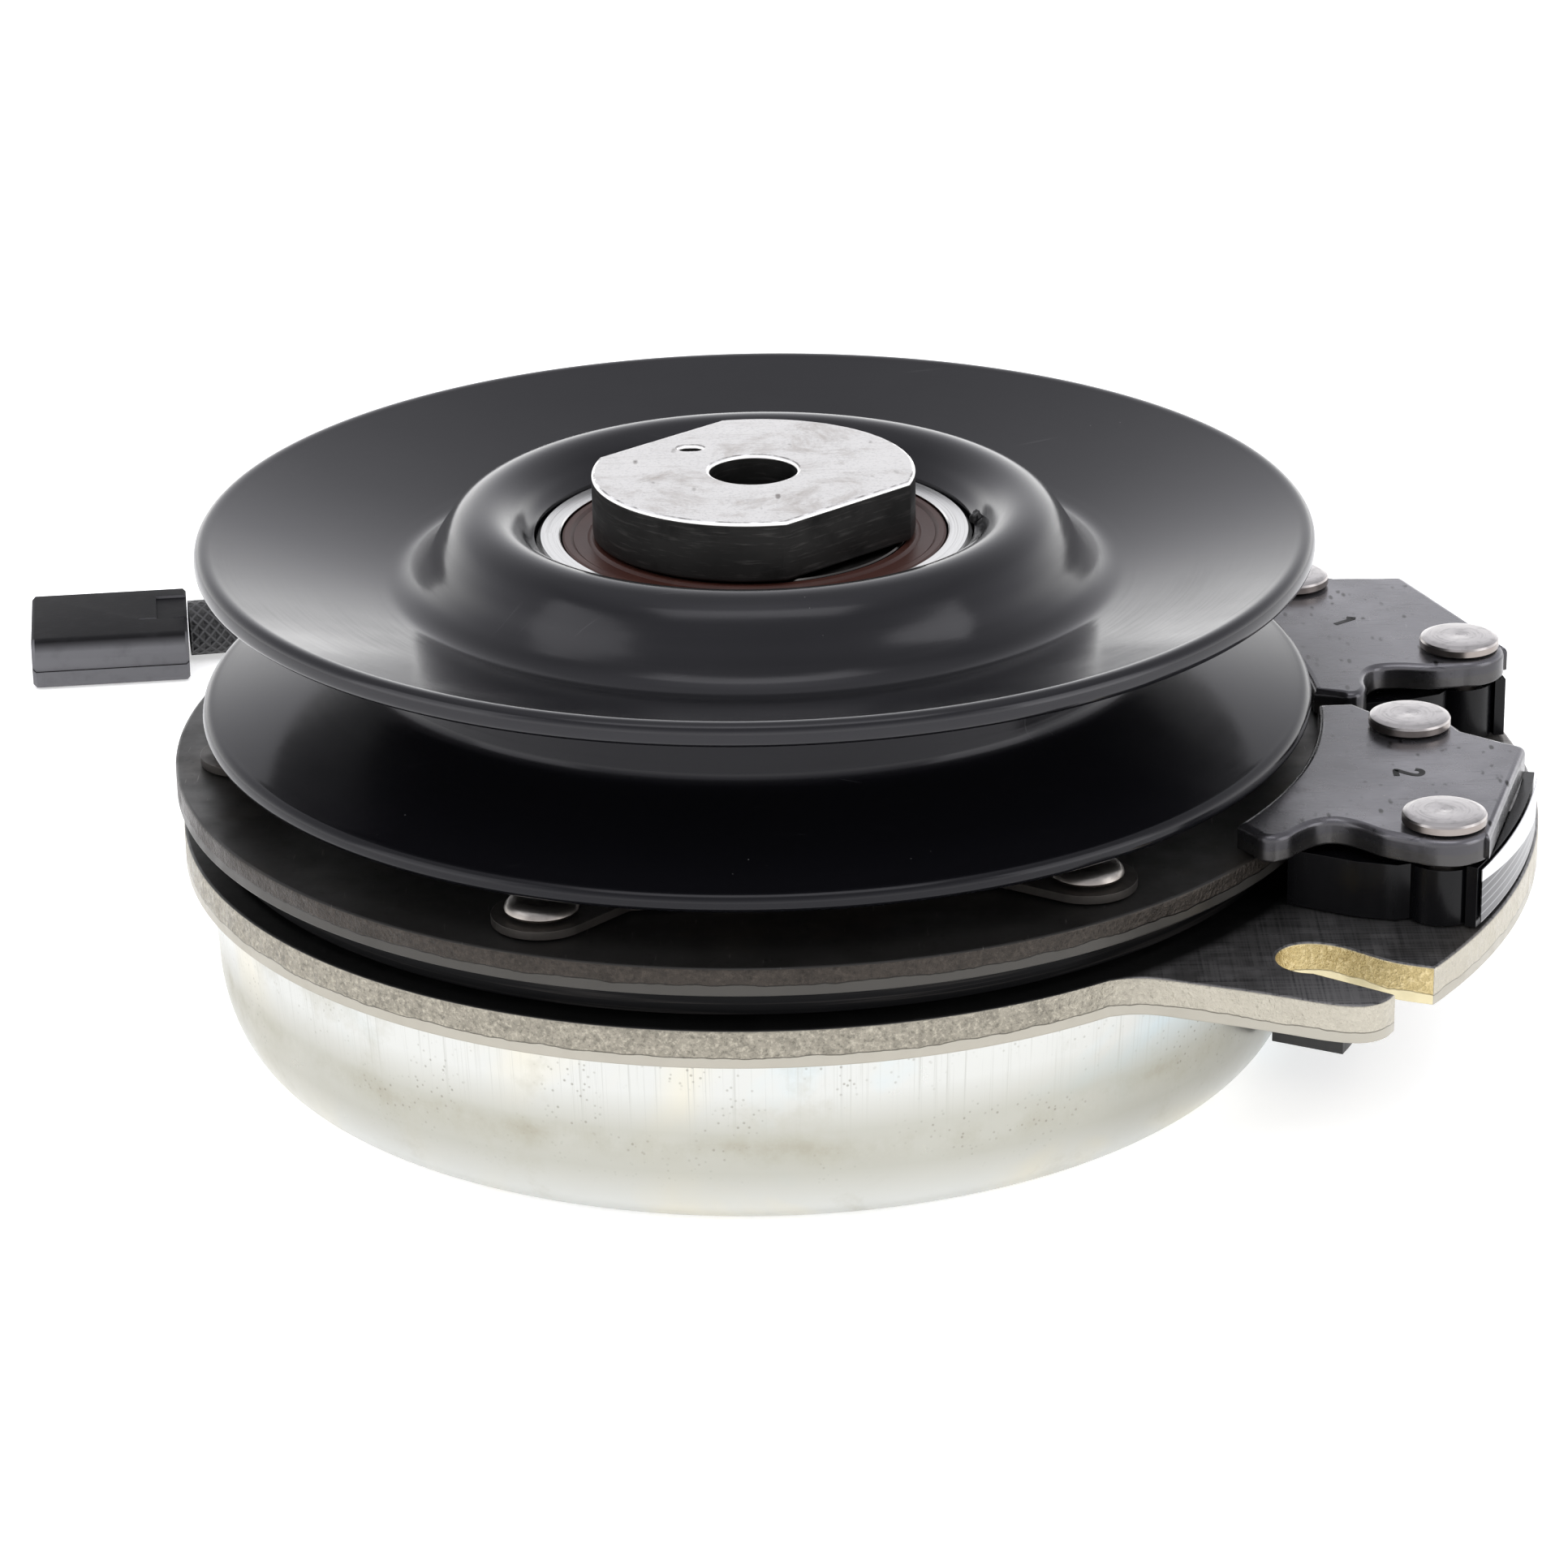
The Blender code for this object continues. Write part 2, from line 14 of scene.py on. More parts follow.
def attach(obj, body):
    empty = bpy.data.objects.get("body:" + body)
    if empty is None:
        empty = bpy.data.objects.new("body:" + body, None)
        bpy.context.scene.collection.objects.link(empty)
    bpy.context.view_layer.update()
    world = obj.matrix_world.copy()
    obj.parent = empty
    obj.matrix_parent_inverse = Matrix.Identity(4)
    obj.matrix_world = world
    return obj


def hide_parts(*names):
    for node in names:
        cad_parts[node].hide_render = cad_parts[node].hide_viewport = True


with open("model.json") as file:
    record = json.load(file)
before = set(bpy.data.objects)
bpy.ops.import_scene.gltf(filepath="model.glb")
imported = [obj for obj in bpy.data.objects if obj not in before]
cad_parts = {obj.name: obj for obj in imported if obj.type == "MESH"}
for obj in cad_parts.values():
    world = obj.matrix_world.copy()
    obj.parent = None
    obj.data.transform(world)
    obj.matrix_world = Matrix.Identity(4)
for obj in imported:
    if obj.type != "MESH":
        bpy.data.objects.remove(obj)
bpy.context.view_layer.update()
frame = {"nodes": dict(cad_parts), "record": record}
scene = bpy.context.scene
MM = 0.001


def placed(name, data):
    """A new object in the scene."""
    obj = bpy.data.objects.new(name, data)
    scene.collection.objects.link(obj)
    return obj


# ---- camera
VIEW_TARGET = (3.61, 0.0, 32.8)
VIEW_DISTANCE, VIEW_ELEVATION, VIEW_ROLL = 769.0, 22.255, -0.952

tilt = math.radians(VIEW_ELEVATION)
camera = placed("camera", bpy.data.cameras.new("camera"))
camera.data.sensor_width = 36.0
camera.data.lens = 121.8
camera.data.clip_start = 0.01
camera.location = [MM * c for c in (VIEW_TARGET[0],
                                    VIEW_TARGET[1] - VIEW_DISTANCE * math.cos(tilt),
                                    VIEW_TARGET[2] + VIEW_DISTANCE * math.sin(tilt))]
camera.rotation_euler = (Matrix.Rotation(math.pi / 2 - tilt, 4, "X")
                         @ Matrix.Rotation(math.radians(VIEW_ROLL), 4, "Z")).to_euler()
scene.camera = camera

# ---- sizes
GAP = 0.3  # clearance where one piece sits in or against another
SUPPORT = 0.12  # loop beside a rounded rim that keeps the shading of the wall flat
SHELL_R_TOP, SHELL_R_LOW, SHELL_WALL = 79.85, 79.0, 3.0
SHELL_TOP, SHELL_CORNER_R, SHELL_CORNER_H, SHELL_EYE_R = 26.2, 6.6, 13.3, 30.0
PLATE_Z0, PLATE_Z1, PLATE_R, PLATE_OPENING_R, TAIL_R = 26.5, 32.0, 83.0, 73.5, 112.0
ROTOR_Z0, ROTOR_Z1, ROTOR_R, HUB_R = 32.3, 36.75, 79.0, 17.35
ROTOR_SLOT_R0, ROTOR_SLOT_R1, ROTOR_SLOT_HALF = 58.3, 61.5, 22.3
ROTOR_SKIRTS, SKIRT_Z0 = ((36.6, 42.0), (66.5, 73.0)), 8.0
COLLAR_R, COLLAR_Z0, COLLAR_Z1 = 22.95, 72.3, 81.0
COLLAR_FLAT, COLLAR_FLAT_ANGLE, BOLT_HOLE_R = 19.7, -47.7, 6.25
BEARING_Z0 = {"pulley": 58.0, "field": 3.6}
BEARING_W, BEARING_PITCH_R, BEARING_GROOVE_R = 14.0, 24.4, 4.45
SEAL_IN, FIELD_SEAL_IN, STAKING_Z = 0.9, 1.1, 72.6
GAUGE_HOLE_AT, GAUGE_HOLE_R, GAUGE_HOLE_HALF = 13.4, 1.1, 0.6
ARM_Z0, ARM_Z1, ARM_R0, ARM_R1 = 37.2, 41.2, 48.0, 83.7
RIVET_CIRCLE, POST_CIRCLE, FIRST_SPRING = 73.3, 56.5, -83.1
SPRING_Z0, SPRING_Z1, SPRING_EYE_R = 41.5, 42.7, 6.8
RIVET_HOLE_R, POST_HOLE_R, POST_CLEAR_R = 2.8, 3.1, 6.2
HOUSING_Z1, BRAKE_Z0, BRAKE_Z1 = 40.4, 41.5, 45.3
PIN_HEAD_Z0, PIN_HEAD_Z1, PIN_HEAD_R, PIN_R, BOSS_R = 45.6, 47.3, 5.8, 2.9, 5.2
WALL_R0, WALL_R1, WALL_Z1, WALL_A0, WALL_A1 = 109.6, 111.2, 41.1, -29.3, -10.6
WEB_R0, WEB_A0, WEB_A1 = 97.0, -26.0, -17.0
FOIL_A0, FOIL_A1, FOIL_THICK = -28.9, -11.2, 0.15
POCKET_R, POCKET_ANGLES, POCKET_X, POCKET_Y = 92.6, (-24.0, -13.0), 5.3, 4.3
MARK_PLACES, MARK_HALF_STROKE = ((92.7, -18.6), (95.2, -18.4)), 0.42
SLOT_POINT, SLOT_ACROSS, SLOT_WIDE = (82.0, -66.8), (0.53, 0.85), (-4.85, 6.6)
SLOT_X, SLOT_Y = (68.5, 89.9), -55.0
PINS = ((104.9, -27.5), (93.3, -7.8))
MODULE_TURNS = (37.5, 0.0)
GRIP_A0, GRIP_A1, GRIP_OUT, GRIP_Z0 = -27.0, -11.0, 11.0, 7.5
LEAD_R = 4.75
LEAD_ROUTE = ((85.1, -15.8, 19.0), (87.3, 2.0, 18.6), (86.6, 16.0, 15.6), (82.6, 31.5, 9.8),
              (75.2, 45.6, 5.6), (64.8, 60.6, 4.9), (50.0, 74.5, 4.9), (30.0, 88.5, 4.9),
              (5.0, 104.0, 4.9), (-22.0, 121.5, 4.9), (-48.0, 136.5, 4.9),
              (-72.0, 144.0, 4.9), (-88.0, 144.9, 4.9))
CONNECTOR_AT, CONNECTOR_TURN = (-97.0, 130.8), 186.6
CONNECTOR_L, CONNECTOR_W, CONNECTOR_H, SOCKET_DEPTH = 26.5, 25.5, 8.0, 13.0
FLOOR_HALF, FLOOR_Z = 6000.0, -0.2


# ---- outlines
def polar(radius, degrees):
    a = math.radians(degrees)
    return (radius * math.cos(a), radius * math.sin(a))


def arc(cx, cy, radius, a0, a1, steps):
    points = [polar(radius, a0 + (a1 - a0) * i / steps) for i in range(steps + 1)]
    return [(cx + x, cy + y) for x, y in points]


def band(r0, r1, a0, a1, steps):
    """Outline of the piece of a flat ring between two angles."""
    return arc(0, 0, r0, a0, a1, steps) + arc(0, 0, r1, a1, a0, steps)


def circle(cx, cy, radius, facets=48):
    return arc(cx, cy, radius, 0.0, 360.0, facets)[:-1]


def turn_points(points, degrees):
    c, s = math.cos(math.radians(degrees)), math.sin(math.radians(degrees))
    return [(x * c - y * s, x * s + y * c) for x, y in points]


def flowing(points, steps=4):
    """Points along a smooth curve through the given ones (two or three numbers each)."""
    knots = [Vector(p) for p in points]
    knots = [2 * knots[0] - knots[1]] + knots + [2 * knots[-1] - knots[-2]]
    fine = []
    for a, b, c, d in zip(knots, knots[1:], knots[2:], knots[3:]):
        for k in range(steps):
            t = k / steps
            fine.append(tuple(0.5 * (2 * b + (c - a) * t
                                     + (2 * a - 5 * b + 4 * c - d) * t ** 2
                                     + (3 * b - a - 3 * c + d) * t ** 3)))
    return fine + [tuple(knots[-2])]


# ---- mesh helpers
def mesh_of(bm, name):
    mesh = bpy.data.meshes.new(name)
    bm.to_mesh(mesh)
    bm.free()
    return mesh


def settle(bm, name, body, stands_for, material, bevel=0.0, segments=3, angle=32,
           flat_caps=False):
    """Turn a bmesh into a finished piece that rides on its body.

    Edges shade smooth up to the angle; flat_caps keeps the rims of level faces sharp.
    """
    bmesh.ops.recalc_face_normals(bm, faces=bm.faces)
    bm.normal_update()
    for edge in bm.edges:
        level = {abs(face.normal.z) > 0.9999 for face in edge.link_faces}
        edge.smooth = (edge.calc_face_angle(0.0) < math.radians(angle)
                       and not (flat_caps and len(level) > 1))
    mesh = mesh_of(bm, name)
    mesh.polygons.foreach_set("use_smooth", [True] * len(mesh.polygons))
    obj = placed(name, mesh)
    if bevel:
        step = obj.modifiers.new("Edges", "BEVEL")
        step.width = bevel * MM
        step.segments = segments
        step.angle_limit = math.radians(35)
        step.harden_normals = True
    mesh.materials.append(material)
    if stands_for:
        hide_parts(*stands_for)
    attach(obj, body)
    return obj


def vert(bm, x, y, z):
    return bm.verts.new((x * MM, y * MM, z * MM))


def rings(bm, profile, centre, facets, closed):
    """Sweep a (radius, z) profile round an upright axis."""
    columns = []
    for c, s in circle(0, 0, 1.0, facets):
        columns.append([vert(bm, centre[0] + r * c, centre[1] + r * s, z)
                        for r, z in profile])
    n = len(profile)
    for i in range(facets):
        here, there = columns[i], columns[(i + 1) % facets]
        for j in range(n if closed else n - 1):
            k = (j + 1) % n
            bm.faces.new((here[j], there[j], there[k], here[k]))
    return columns


def turned(name, profile, body, stands_for, material, facets=200, angle=32):
    """Ring turned from a closed (radius, z) profile round the shaft axis."""
    bm = bmesh.new()
    rings(bm, profile, (0.0, 0.0), facets, True)
    return settle(bm, name, body, stands_for, material, angle=angle)


def peg(name, profile, centre, body, stands_for, material, facets=40):
    """Solid of revolution on its own upright axis, with a 'local' place for its finish."""
    bm = bmesh.new()
    columns = rings(bm, profile, centre, facets, False)
    bm.faces.new([column[0] for column in columns])
    bm.faces.new([column[-1] for column in columns])
    obj = settle(bm, name, body, stands_for, material, angle=24)
    local = obj.data.attributes.new("local", "FLOAT_VECTOR", "POINT")
    for i, v in enumerate(obj.data.vertices):
        local.data[i].vector = (v.co.x - centre[0] * MM, v.co.y - centre[1] * MM, v.co.z)
    return obj


def bridge(bm, a, b):
    """Quads between two closed rows of verts."""
    for i in range(len(a)):
        j = (i + 1) % len(a)
        bm.faces.new((a[i], a[j], b[j], b[i]))


def inset(loop, by, hole):
    """A closed outline moved into the material, which lies outside it if it is a hole."""
    if not by:
        return loop
    pairs = list(zip(loop, loop[1:] + loop[:1]))
    area = sum(x0 * y1 - x1 * y0 for (x0, y0), (x1, y1) in pairs)
    by *= -1 if (area < 0) != hole else 1
    normals = [Vector((p[1] - q[1], q[0] - p[0])).normalized() for p, q in pairs]
    moved = []
    for p, before, after in zip(loop, normals[-1:] + normals[:-1], normals):
        shift = (before + after) * by / max(1.0 + before.dot(after), 0.35)
        moved.append((p[0] + shift.x, p[1] + shift.y))
    return moved


def plate(bm, loops, z0, z1, top=0.0, bottom=0.0, segments=3):
    """Add a flat plate, an outline followed by its holes, with rounded rims, to a bmesh."""
    turns = [math.pi / 2 * i / segments for i in range(segments + 1)]
    levels = [(bottom * (1 - math.cos(t)), z0 + bottom * (1 - math.sin(t)))
              for t in (turns[::-1] if bottom else [0.0])]
    levels += [(0.0, z0 + bottom + SUPPORT)] if bottom else []
    levels += [(0.0, z1 - top - SUPPORT)] if top else []
    levels += [(top * (1 - math.cos(t)), z1 - top * (1 - math.sin(t)))
               for t in (turns if top else [0.0])]
    stack = [[inset(loop, by, i > 0) for i, loop in enumerate(loops)] for by, _ in levels]
    verts = [[[vert(bm, x, y, z) for x, y in loop] for loop in layer]
             for layer, (_, z) in zip(stack, levels)]
    for low, high in zip(verts, verts[1:]):
        for below, above in zip(low, high):
            bridge(bm, below, above)
    for layer, rims in ((stack[0], verts[0]), (stack[-1], verts[-1])):
        flat = [v for rim in rims for v in rim]
        for cell in tessellate_polygon([[Vector((x, y, 0.0)) for x, y in loop]
                                        for loop in layer]):
            bm.faces.new([flat[i] for i in cell])


def stamped(name, loops, z0, z1, body, stands_for, material, bevel=0.3, turn=0.0,
            segments=3):
    """Flat stamping; bevel may be (top, bottom) where the two rims are rounded unequally."""
    bm = bmesh.new()
    rounded = isinstance(bevel, tuple)
    plate(bm, loops, z0, z1, *(bevel if rounded else (0.0, 0.0)), segments)
    bmesh.ops.rotate(bm, verts=bm.verts, matrix=Matrix.Rotation(math.radians(turn), 3, "Z"))
    return settle(bm, name, body, stands_for, material, 0.0 if rounded else bevel,
                  segments, flat_caps=rounded)


def tube(name, points, radius, body, stands_for, material):
    """Round tube along a path; U runs along it in metres and V once round it."""
    sides = 24
    bm = bmesh.new()
    uv = bm.loops.layers.uv.new("UVMap")
    path = [Vector(p) for p in points]
    loops, run, walked = [], 0.0, []
    for i, p in enumerate(path):
        run += (p - path[i - 1]).length if i else 0.0
        walked.append(run)
        ahead = (path[min(i + 1, len(path) - 1)] - path[max(i - 1, 0)]).normalized()
        side = ahead.cross(Vector((0, 0, 1))).normalized()
        up = side.cross(ahead)
        loops.append([bm.verts.new((p + (side * c + up * s) * radius) * MM)
                      for c, s in circle(0, 0, 1.0, sides)])
    for i in range(len(loops) - 1):
        for k in range(sides):
            j = (k + 1) % sides
            face = bm.faces.new((loops[i][k], loops[i][j], loops[i + 1][j], loops[i + 1][k]))
            for loop, (u, v) in zip(face.loops, ((i, k), (i, k + 1), (i + 1, k + 1),
                                                 (i + 1, k))):
                loop[uv].uv = (walked[u] * MM, v / sides)
    bm.faces.new(loops[0])
    bm.faces.new(loops[-1])
    return settle(bm, name, body, stands_for, material)


# ---- material helpers
def scaled(colour, factor):
    return tuple(c * factor for c in colour)


class Finish:
    """A Principled material built up from a few named ingredients."""

    def __init__(self, name, colour, metallic=0.0, roughness=0.4, **sockets):
        self.mat = bpy.data.materials.new(name)
        self.mat.use_nodes = True
        self.tree = self.mat.node_tree
        self.bsdf = self.tree.nodes["Principled BSDF"]
        self.flat = (*colour, 1.0)
        self.colour = self.normal = None
        self.feed(self.bsdf, {"Base Color": self.flat, "Metallic": metallic,
                              "Roughness": roughness})
        self.feed(self.bsdf, {key.replace("_", " "): v for key, v in sockets.items()})

    def feed(self, node, inputs):
        """Set a node's sockets to values, or link other sockets into them."""
        for key, value in inputs.items():
            if isinstance(value, bpy.types.NodeSocket):
                self.tree.links.new(value, node.inputs[key])
            else:
                node.inputs[key].default_value = value

    def node(self, kind, inputs=None, **settings):
        node = self.tree.nodes.new("ShaderNode" + kind)
        for key, value in settings.items():
            setattr(node, key, value)
        self.feed(node, inputs or {})
        return node

    def math(self, operation, a, b=0.0, clamp=False):
        return self.node("Math", {0: a, 1: b}, operation=operation,
                         use_clamp=clamp).outputs[0]

    def times(self, first, *others):
        for other in others:
            first = self.math("MULTIPLY", first, other)
        return first

    def flip(self, value):
        return self.math("SUBTRACT", 1.0, value)

    def within(self, value, low, high):
        """One between two lengths and nothing outside them."""
        return self.times(self.math("GREATER_THAN", value, low * MM),
                          self.math("LESS_THAN", value, high * MM))

    def place(self, source="Object"):
        """Where the surface is: a texture coordinate, or else a stored attribute."""
        if source in ("Object", "UV"):
            return self.node("TexCoord").outputs[source]
        return self.node("Attribute", attribute_name=source).outputs["Vector"]

    def xyz(self, vector):
        return self.node("SeparateXYZ", {0: vector}).outputs[0:3]

    def stretch(self, vector, scale, turn=0.0):
        return self.node("Mapping", {
            "Scale": scale, "Rotation": (0.0, 0.0, math.radians(turn)),
            "Vector": vector}).outputs[0]

    def round_place(self, across=1.0, about=1.0, along=1.0, source="Object"):
        """Radius, angle and height as a vector, each with its own scale."""
        x, y, z = self.xyz(self.place(source))
        radius = self.math("SQRT", self.math("ADD", self.times(x, x), self.times(y, y)))
        angle = self.math("ARCTAN2", y, x)
        return self.node("CombineXYZ", {
            0: self.times(radius, across), 1: self.times(angle, about),
            2: self.times(z, along)}).outputs[0]

    def noise(self, vector, scale=1.0, detail=4.0, rough=0.55, distortion=0.0):
        return self.node("TexNoise", {
            "Scale": scale, "Detail": detail, "Roughness": rough, "Distortion": distortion,
            "Vector": vector}).outputs["Fac"]

    def mottle(self, *settings, **more):
        return self.noise(self.place(), *settings, **more)

    def streaks(self, scale, turn=0.0, detail=2.0):
        """Noise drawn out along the axes with the smaller scales."""
        return self.noise(self.stretch(self.place(), scale, turn), 1.0, detail)

    def spots(self, vector, scale, size):
        """White dots on black, for pits and specks."""
        n = self.node("TexVoronoi", {"Scale": scale, "Vector": vector}, feature="F1")
        return self.span(n.outputs["Distance"], size, size * 0.5)

    def span(self, value, low, high, out0=0.0, out1=1.0):
        """The value carried from one range to another, and held at its ends."""
        return self.node("MapRange", {
            "Value": value, "From Min": low, "From Max": high, "To Min": out0,
            "To Max": out1}, clamp=True).outputs[0]

    def height_band(self, z_low, z_high):
        return self.span(self.xyz(self.place())[2], z_low * MM, z_high * MM)

    def radius_band(self, r_low, r_high):
        return self.span(self.xyz(self.round_place())[0], r_low * MM, r_high * MM)

    def facing_up(self, low, high):
        normal = self.node("NewGeometry").outputs["Normal"]
        n = self.node("VectorTransform", {0: normal}, vector_type="NORMAL",
                      convert_from="WORLD", convert_to="OBJECT")
        return self.span(self.xyz(n.outputs[0])[2], low, high)

    def tint(self, colour, factor, strength=1.0):
        """Lay a colour over what is there, where factor is high."""
        self.colour = self.node("Mix", {
            0: self.times(factor, strength), 6: self.colour or self.flat,
            7: (*colour, 1.0)}, data_type="RGBA").outputs[2]

    def bump(self, height, strength, distance):
        n = self.node("Bump", {"Strength": strength, "Distance": distance * MM,
                                         "Height": height})
        self.feed(n, {"Normal": self.normal} if self.normal else {})
        self.normal = n.outputs[0]

    def roughness(self, value):
        self.feed(self.bsdf, {"Roughness": value})

    def done(self):
        made = {"Base Color": self.colour, "Normal": self.normal}
        self.feed(self.bsdf, {key: socket for key, socket in made.items() if socket})
        return self.mat


def pulley_finish(name, shine):
    """Glossy black paint over turned grooves, with specks and fine scratches."""
    f = Finish(name, (0.0035, 0.0035, 0.0045), roughness=0.2, Specular_IOR_Level=shine,
               Specular_Tint=(0.96, 0.95, 1.0, 1.0))
    place = f.place()
    specks = f.spots(place, 420, 0.05)
    f.tint((0.12, 0.12, 0.12), f.times(specks, f.span(f.mottle(90), 0.6, 0.7)))
    grooves = f.noise(f.round_place(2600, 3.0, 2600), 1.0, 3.0)
    f.bump(grooves, 0.12, 0.02)
    f.bump(f.mottle(1500, 2.0), 0.10, 0.03)
    cloud = f.mottle(55, 5.0)
    scratch = f.span(f.streaks((60, 2400, 60), 33), 0.70, 0.80)
    f.tint((0.05, 0.05, 0.052), f.times(scratch, f.span(cloud, 0.5, 0.6)), 0.5)
    f.roughness(f.math("ADD", f.span(cloud, 0.3, 0.7, 0.11, 0.21),
                       f.span(grooves, 0.4, 0.8, 0.0, 0.05)))
    return f.done()


def zinc_finish():
    """Shell: bright zinc with upright streaks and a faint rainbow passivation."""
    f = Finish("zinc_shell", (0.57, 0.575, 0.55), metallic=1.0, roughness=0.3)
    place = f.place()
    patches = f.mottle(22, 3.0, distortion=1.0)
    f.tint((0.50, 0.60, 0.64), f.span(patches, 0.56, 0.70), 0.6)
    f.tint((0.64, 0.60, 0.48), f.span(patches, 0.44, 0.32), 0.55)
    streaks = f.noise(f.round_place(30, 260.0, 25), 1.0, 5.0, 0.65)
    f.tint((0.36, 0.36, 0.33), f.times(f.span(streaks, 0.55, 0.70), f.height_band(9, 22)), 0.6)
    # A darker band round the lower part of the shell, full from 9 to 15 mm high.
    f.tint((0.39, 0.385, 0.335), f.times(f.height_band(21, 15), f.height_band(3, 9)), 0.8)
    blotches = f.mottle(60, 6.0, 0.7)
    f.tint((0.40, 0.385, 0.32), f.span(blotches, 0.55, 0.75), 0.6)
    # A darker band round the shell, full from about 15.8 to 16.5 mm high and fading out by 12.5
    # and 18.5 mm, broken up by the blotches.
    z = f.math("ADD", f.xyz(place)[2], f.times(f.mottle(35, 5.0), 6.0 * MM))
    band = f.times(f.span(z, 18.5 * MM, 16.5 * MM), f.span(z, 12.5 * MM, 15.8 * MM))
    f.tint((0.33, 0.315, 0.25), f.times(band, f.span(blotches, 0.40, 0.64)), 0.7)
    specks = f.times(f.spots(place, 1000, 0.24), f.span(f.mottle(90, 3.0), 0.46, 0.60))
    f.tint((0.20, 0.19, 0.155), f.times(specks, f.height_band(6, 12)), 0.6)
    f.bump(streaks, 0.10, 0.03)
    f.bump(f.noise(f.round_place(60, 7.0, 160), 1.0, 3.0), 0.35, 0.25)
    f.bump(f.mottle(1100, 3.0), 0.10, 0.03)
    f.roughness(f.span(blotches, 0.3, 0.75, 0.26, 0.46))
    return f.done()


def sheared_edge(f, z_split, rough_colour, smooth_colour):
    """Blanked edge: a torn grey zone over a burnished one, with an uneven dark line of painted
    shade between.
    """
    line = f.math("ADD", f.xyz(f.place())[2], f.times(f.mottle(220, 3.0), 1.1 * MM))
    torn = f.span(line, (z_split + 0.45) * MM, (z_split + 0.62) * MM)
    side = f.flip(f.facing_up(0.35, 0.7))
    grain = f.mottle(1500, 3.0, 0.7)
    lumps = f.mottle(420, 4.0, 0.6)
    torn_side = f.times(side, torn)
    f.tint(smooth_colour, side)
    f.tint(rough_colour, torn_side)
    f.tint(scaled(rough_colour, 0.55), f.times(torn_side, f.span(lumps, 0.46, 0.66)), 0.6)
    f.tint(scaled(rough_colour, 1.5), f.times(torn_side, f.span(grain, 0.52, 0.66)), 0.85)
    f.tint(scaled(rough_colour, 0.5), f.times(torn_side, f.span(grain, 0.45, 0.34)), 0.8)
    # Painted shade: a dark uneven line where the torn zone meets the burnished one.
    border = f.span(f.math("ABSOLUTE", f.math("SUBTRACT", torn, 0.4)), 0.38, 0.1)
    f.tint(scaled(rough_colour, 0.45), f.times(side, border), 0.7)
    f.bump(f.times(lumps, torn_side), 0.7, 0.5)
    f.bump(f.times(grain, torn_side), 1.0, 0.3)
    return side, torn


def plate_finish():
    """Field plate: dull dark zinc face with crossed rolling lines, light sheared edges."""
    f = Finish("zinc_plate", (0.16, 0.157, 0.157), metallic=0.85, roughness=0.38)
    hatch = f.math("ADD", f.streaks((40, 2600, 1), 38), f.streaks((2600, 40, 1), -8))
    f.tint((0.035, 0.035, 0.038), f.span(hatch, 0.95, 1.25), 0.8)
    f.tint((0.24, 0.20, 0.15), f.span(f.mottle(30, 3.0), 0.55, 0.75), 0.35)
    x, y, _ = f.xyz(f.place())
    # Painted shadow: the plate top inside 83.2 mm radius, round the rotor and under the
    # armature's rim, is darkened in colour.
    f.tint((0.016, 0.016, 0.016), f.radius_band(85.0, 83.2), 0.97)
    f.bump(hatch, 0.12, 0.02)
    side, torn = sheared_edge(f, PLATE_Z0 + 1.6, (0.27, 0.25, 0.205), (0.37, 0.35, 0.30))
    # Painted light: the torn edge is lightened in colour from x 40 mm on towards the tail, where
    # no shell below lights it.
    f.tint((0.47, 0.44, 0.37), f.times(side, torn, f.span(x, 40.0 * MM, 56.0 * MM)), 0.75)
    off = f.math("ADD", f.times(f.math("SUBTRACT", x, SLOT_POINT[0] * MM), SLOT_ACROSS[0]),
                 f.times(f.math("SUBTRACT", y, SLOT_POINT[1] * MM), SLOT_ACROSS[1]))
    slot = f.times(f.within(off, *SLOT_WIDE), f.within(x, *SLOT_X), side,
                   f.math("LESS_THAN", y, SLOT_Y * MM))
    f.tint((0.66, 0.585, 0.37), slot, 0.9)
    f.tint((0.46, 0.36, 0.165), f.times(slot, torn), 0.9)
    f.tint((0.72, 0.60, 0.34), f.times(slot, torn, f.span(f.mottle(1500, 3.0), 0.5, 0.68)), 0.7)
    f.roughness(f.span(f.mottle(300, 4.0), 0.3, 0.8, 0.28, 0.55))
    return f.done()


def armature_finish():
    f = Finish("armature_steel", (0.022, 0.021, 0.020), metallic=0.7, roughness=0.42)
    place = f.place()
    f.tint((0.055, 0.043, 0.032), f.span(f.mottle(45, 5.0), 0.52, 0.75), 0.7)
    f.bump(f.streaks((70, 900, 1), 20, 3.0), 0.15, 0.05)
    pits = f.times(f.spots(place, 800, 0.25), f.span(f.mottle(240), 0.5, 0.6))
    f.tint((0.004, 0.004, 0.004), pits, 0.9)
    nicks = f.span(f.streaks((2200, 160, 1), -35), 0.68, 0.76)
    f.tint((0.16, 0.15, 0.14), nicks, 0.5)
    f.bump(pits, -0.6, 0.15)
    sheared_edge(f, ARM_Z0 + 1.55, (0.034, 0.028, 0.023), (0.055, 0.052, 0.047))
    f.roughness(f.span(f.mottle(160, 5.0), 0.3, 0.75, 0.3, 0.55))
    return f.done()


def rotor_finish():
    f = Finish("rotor_steel", (0.003, 0.003, 0.0034), metallic=0.5, roughness=0.36,
               Specular_IOR_Level=0.18)
    lines = f.noise(f.round_place(3000, 2.0, 2600), 1.0, 3.0)
    f.tint((0.034, 0.031, 0.029), f.span(lines, 0.52, 0.74), 0.8)
    f.bump(lines, 0.3, 0.04)
    return f.done()


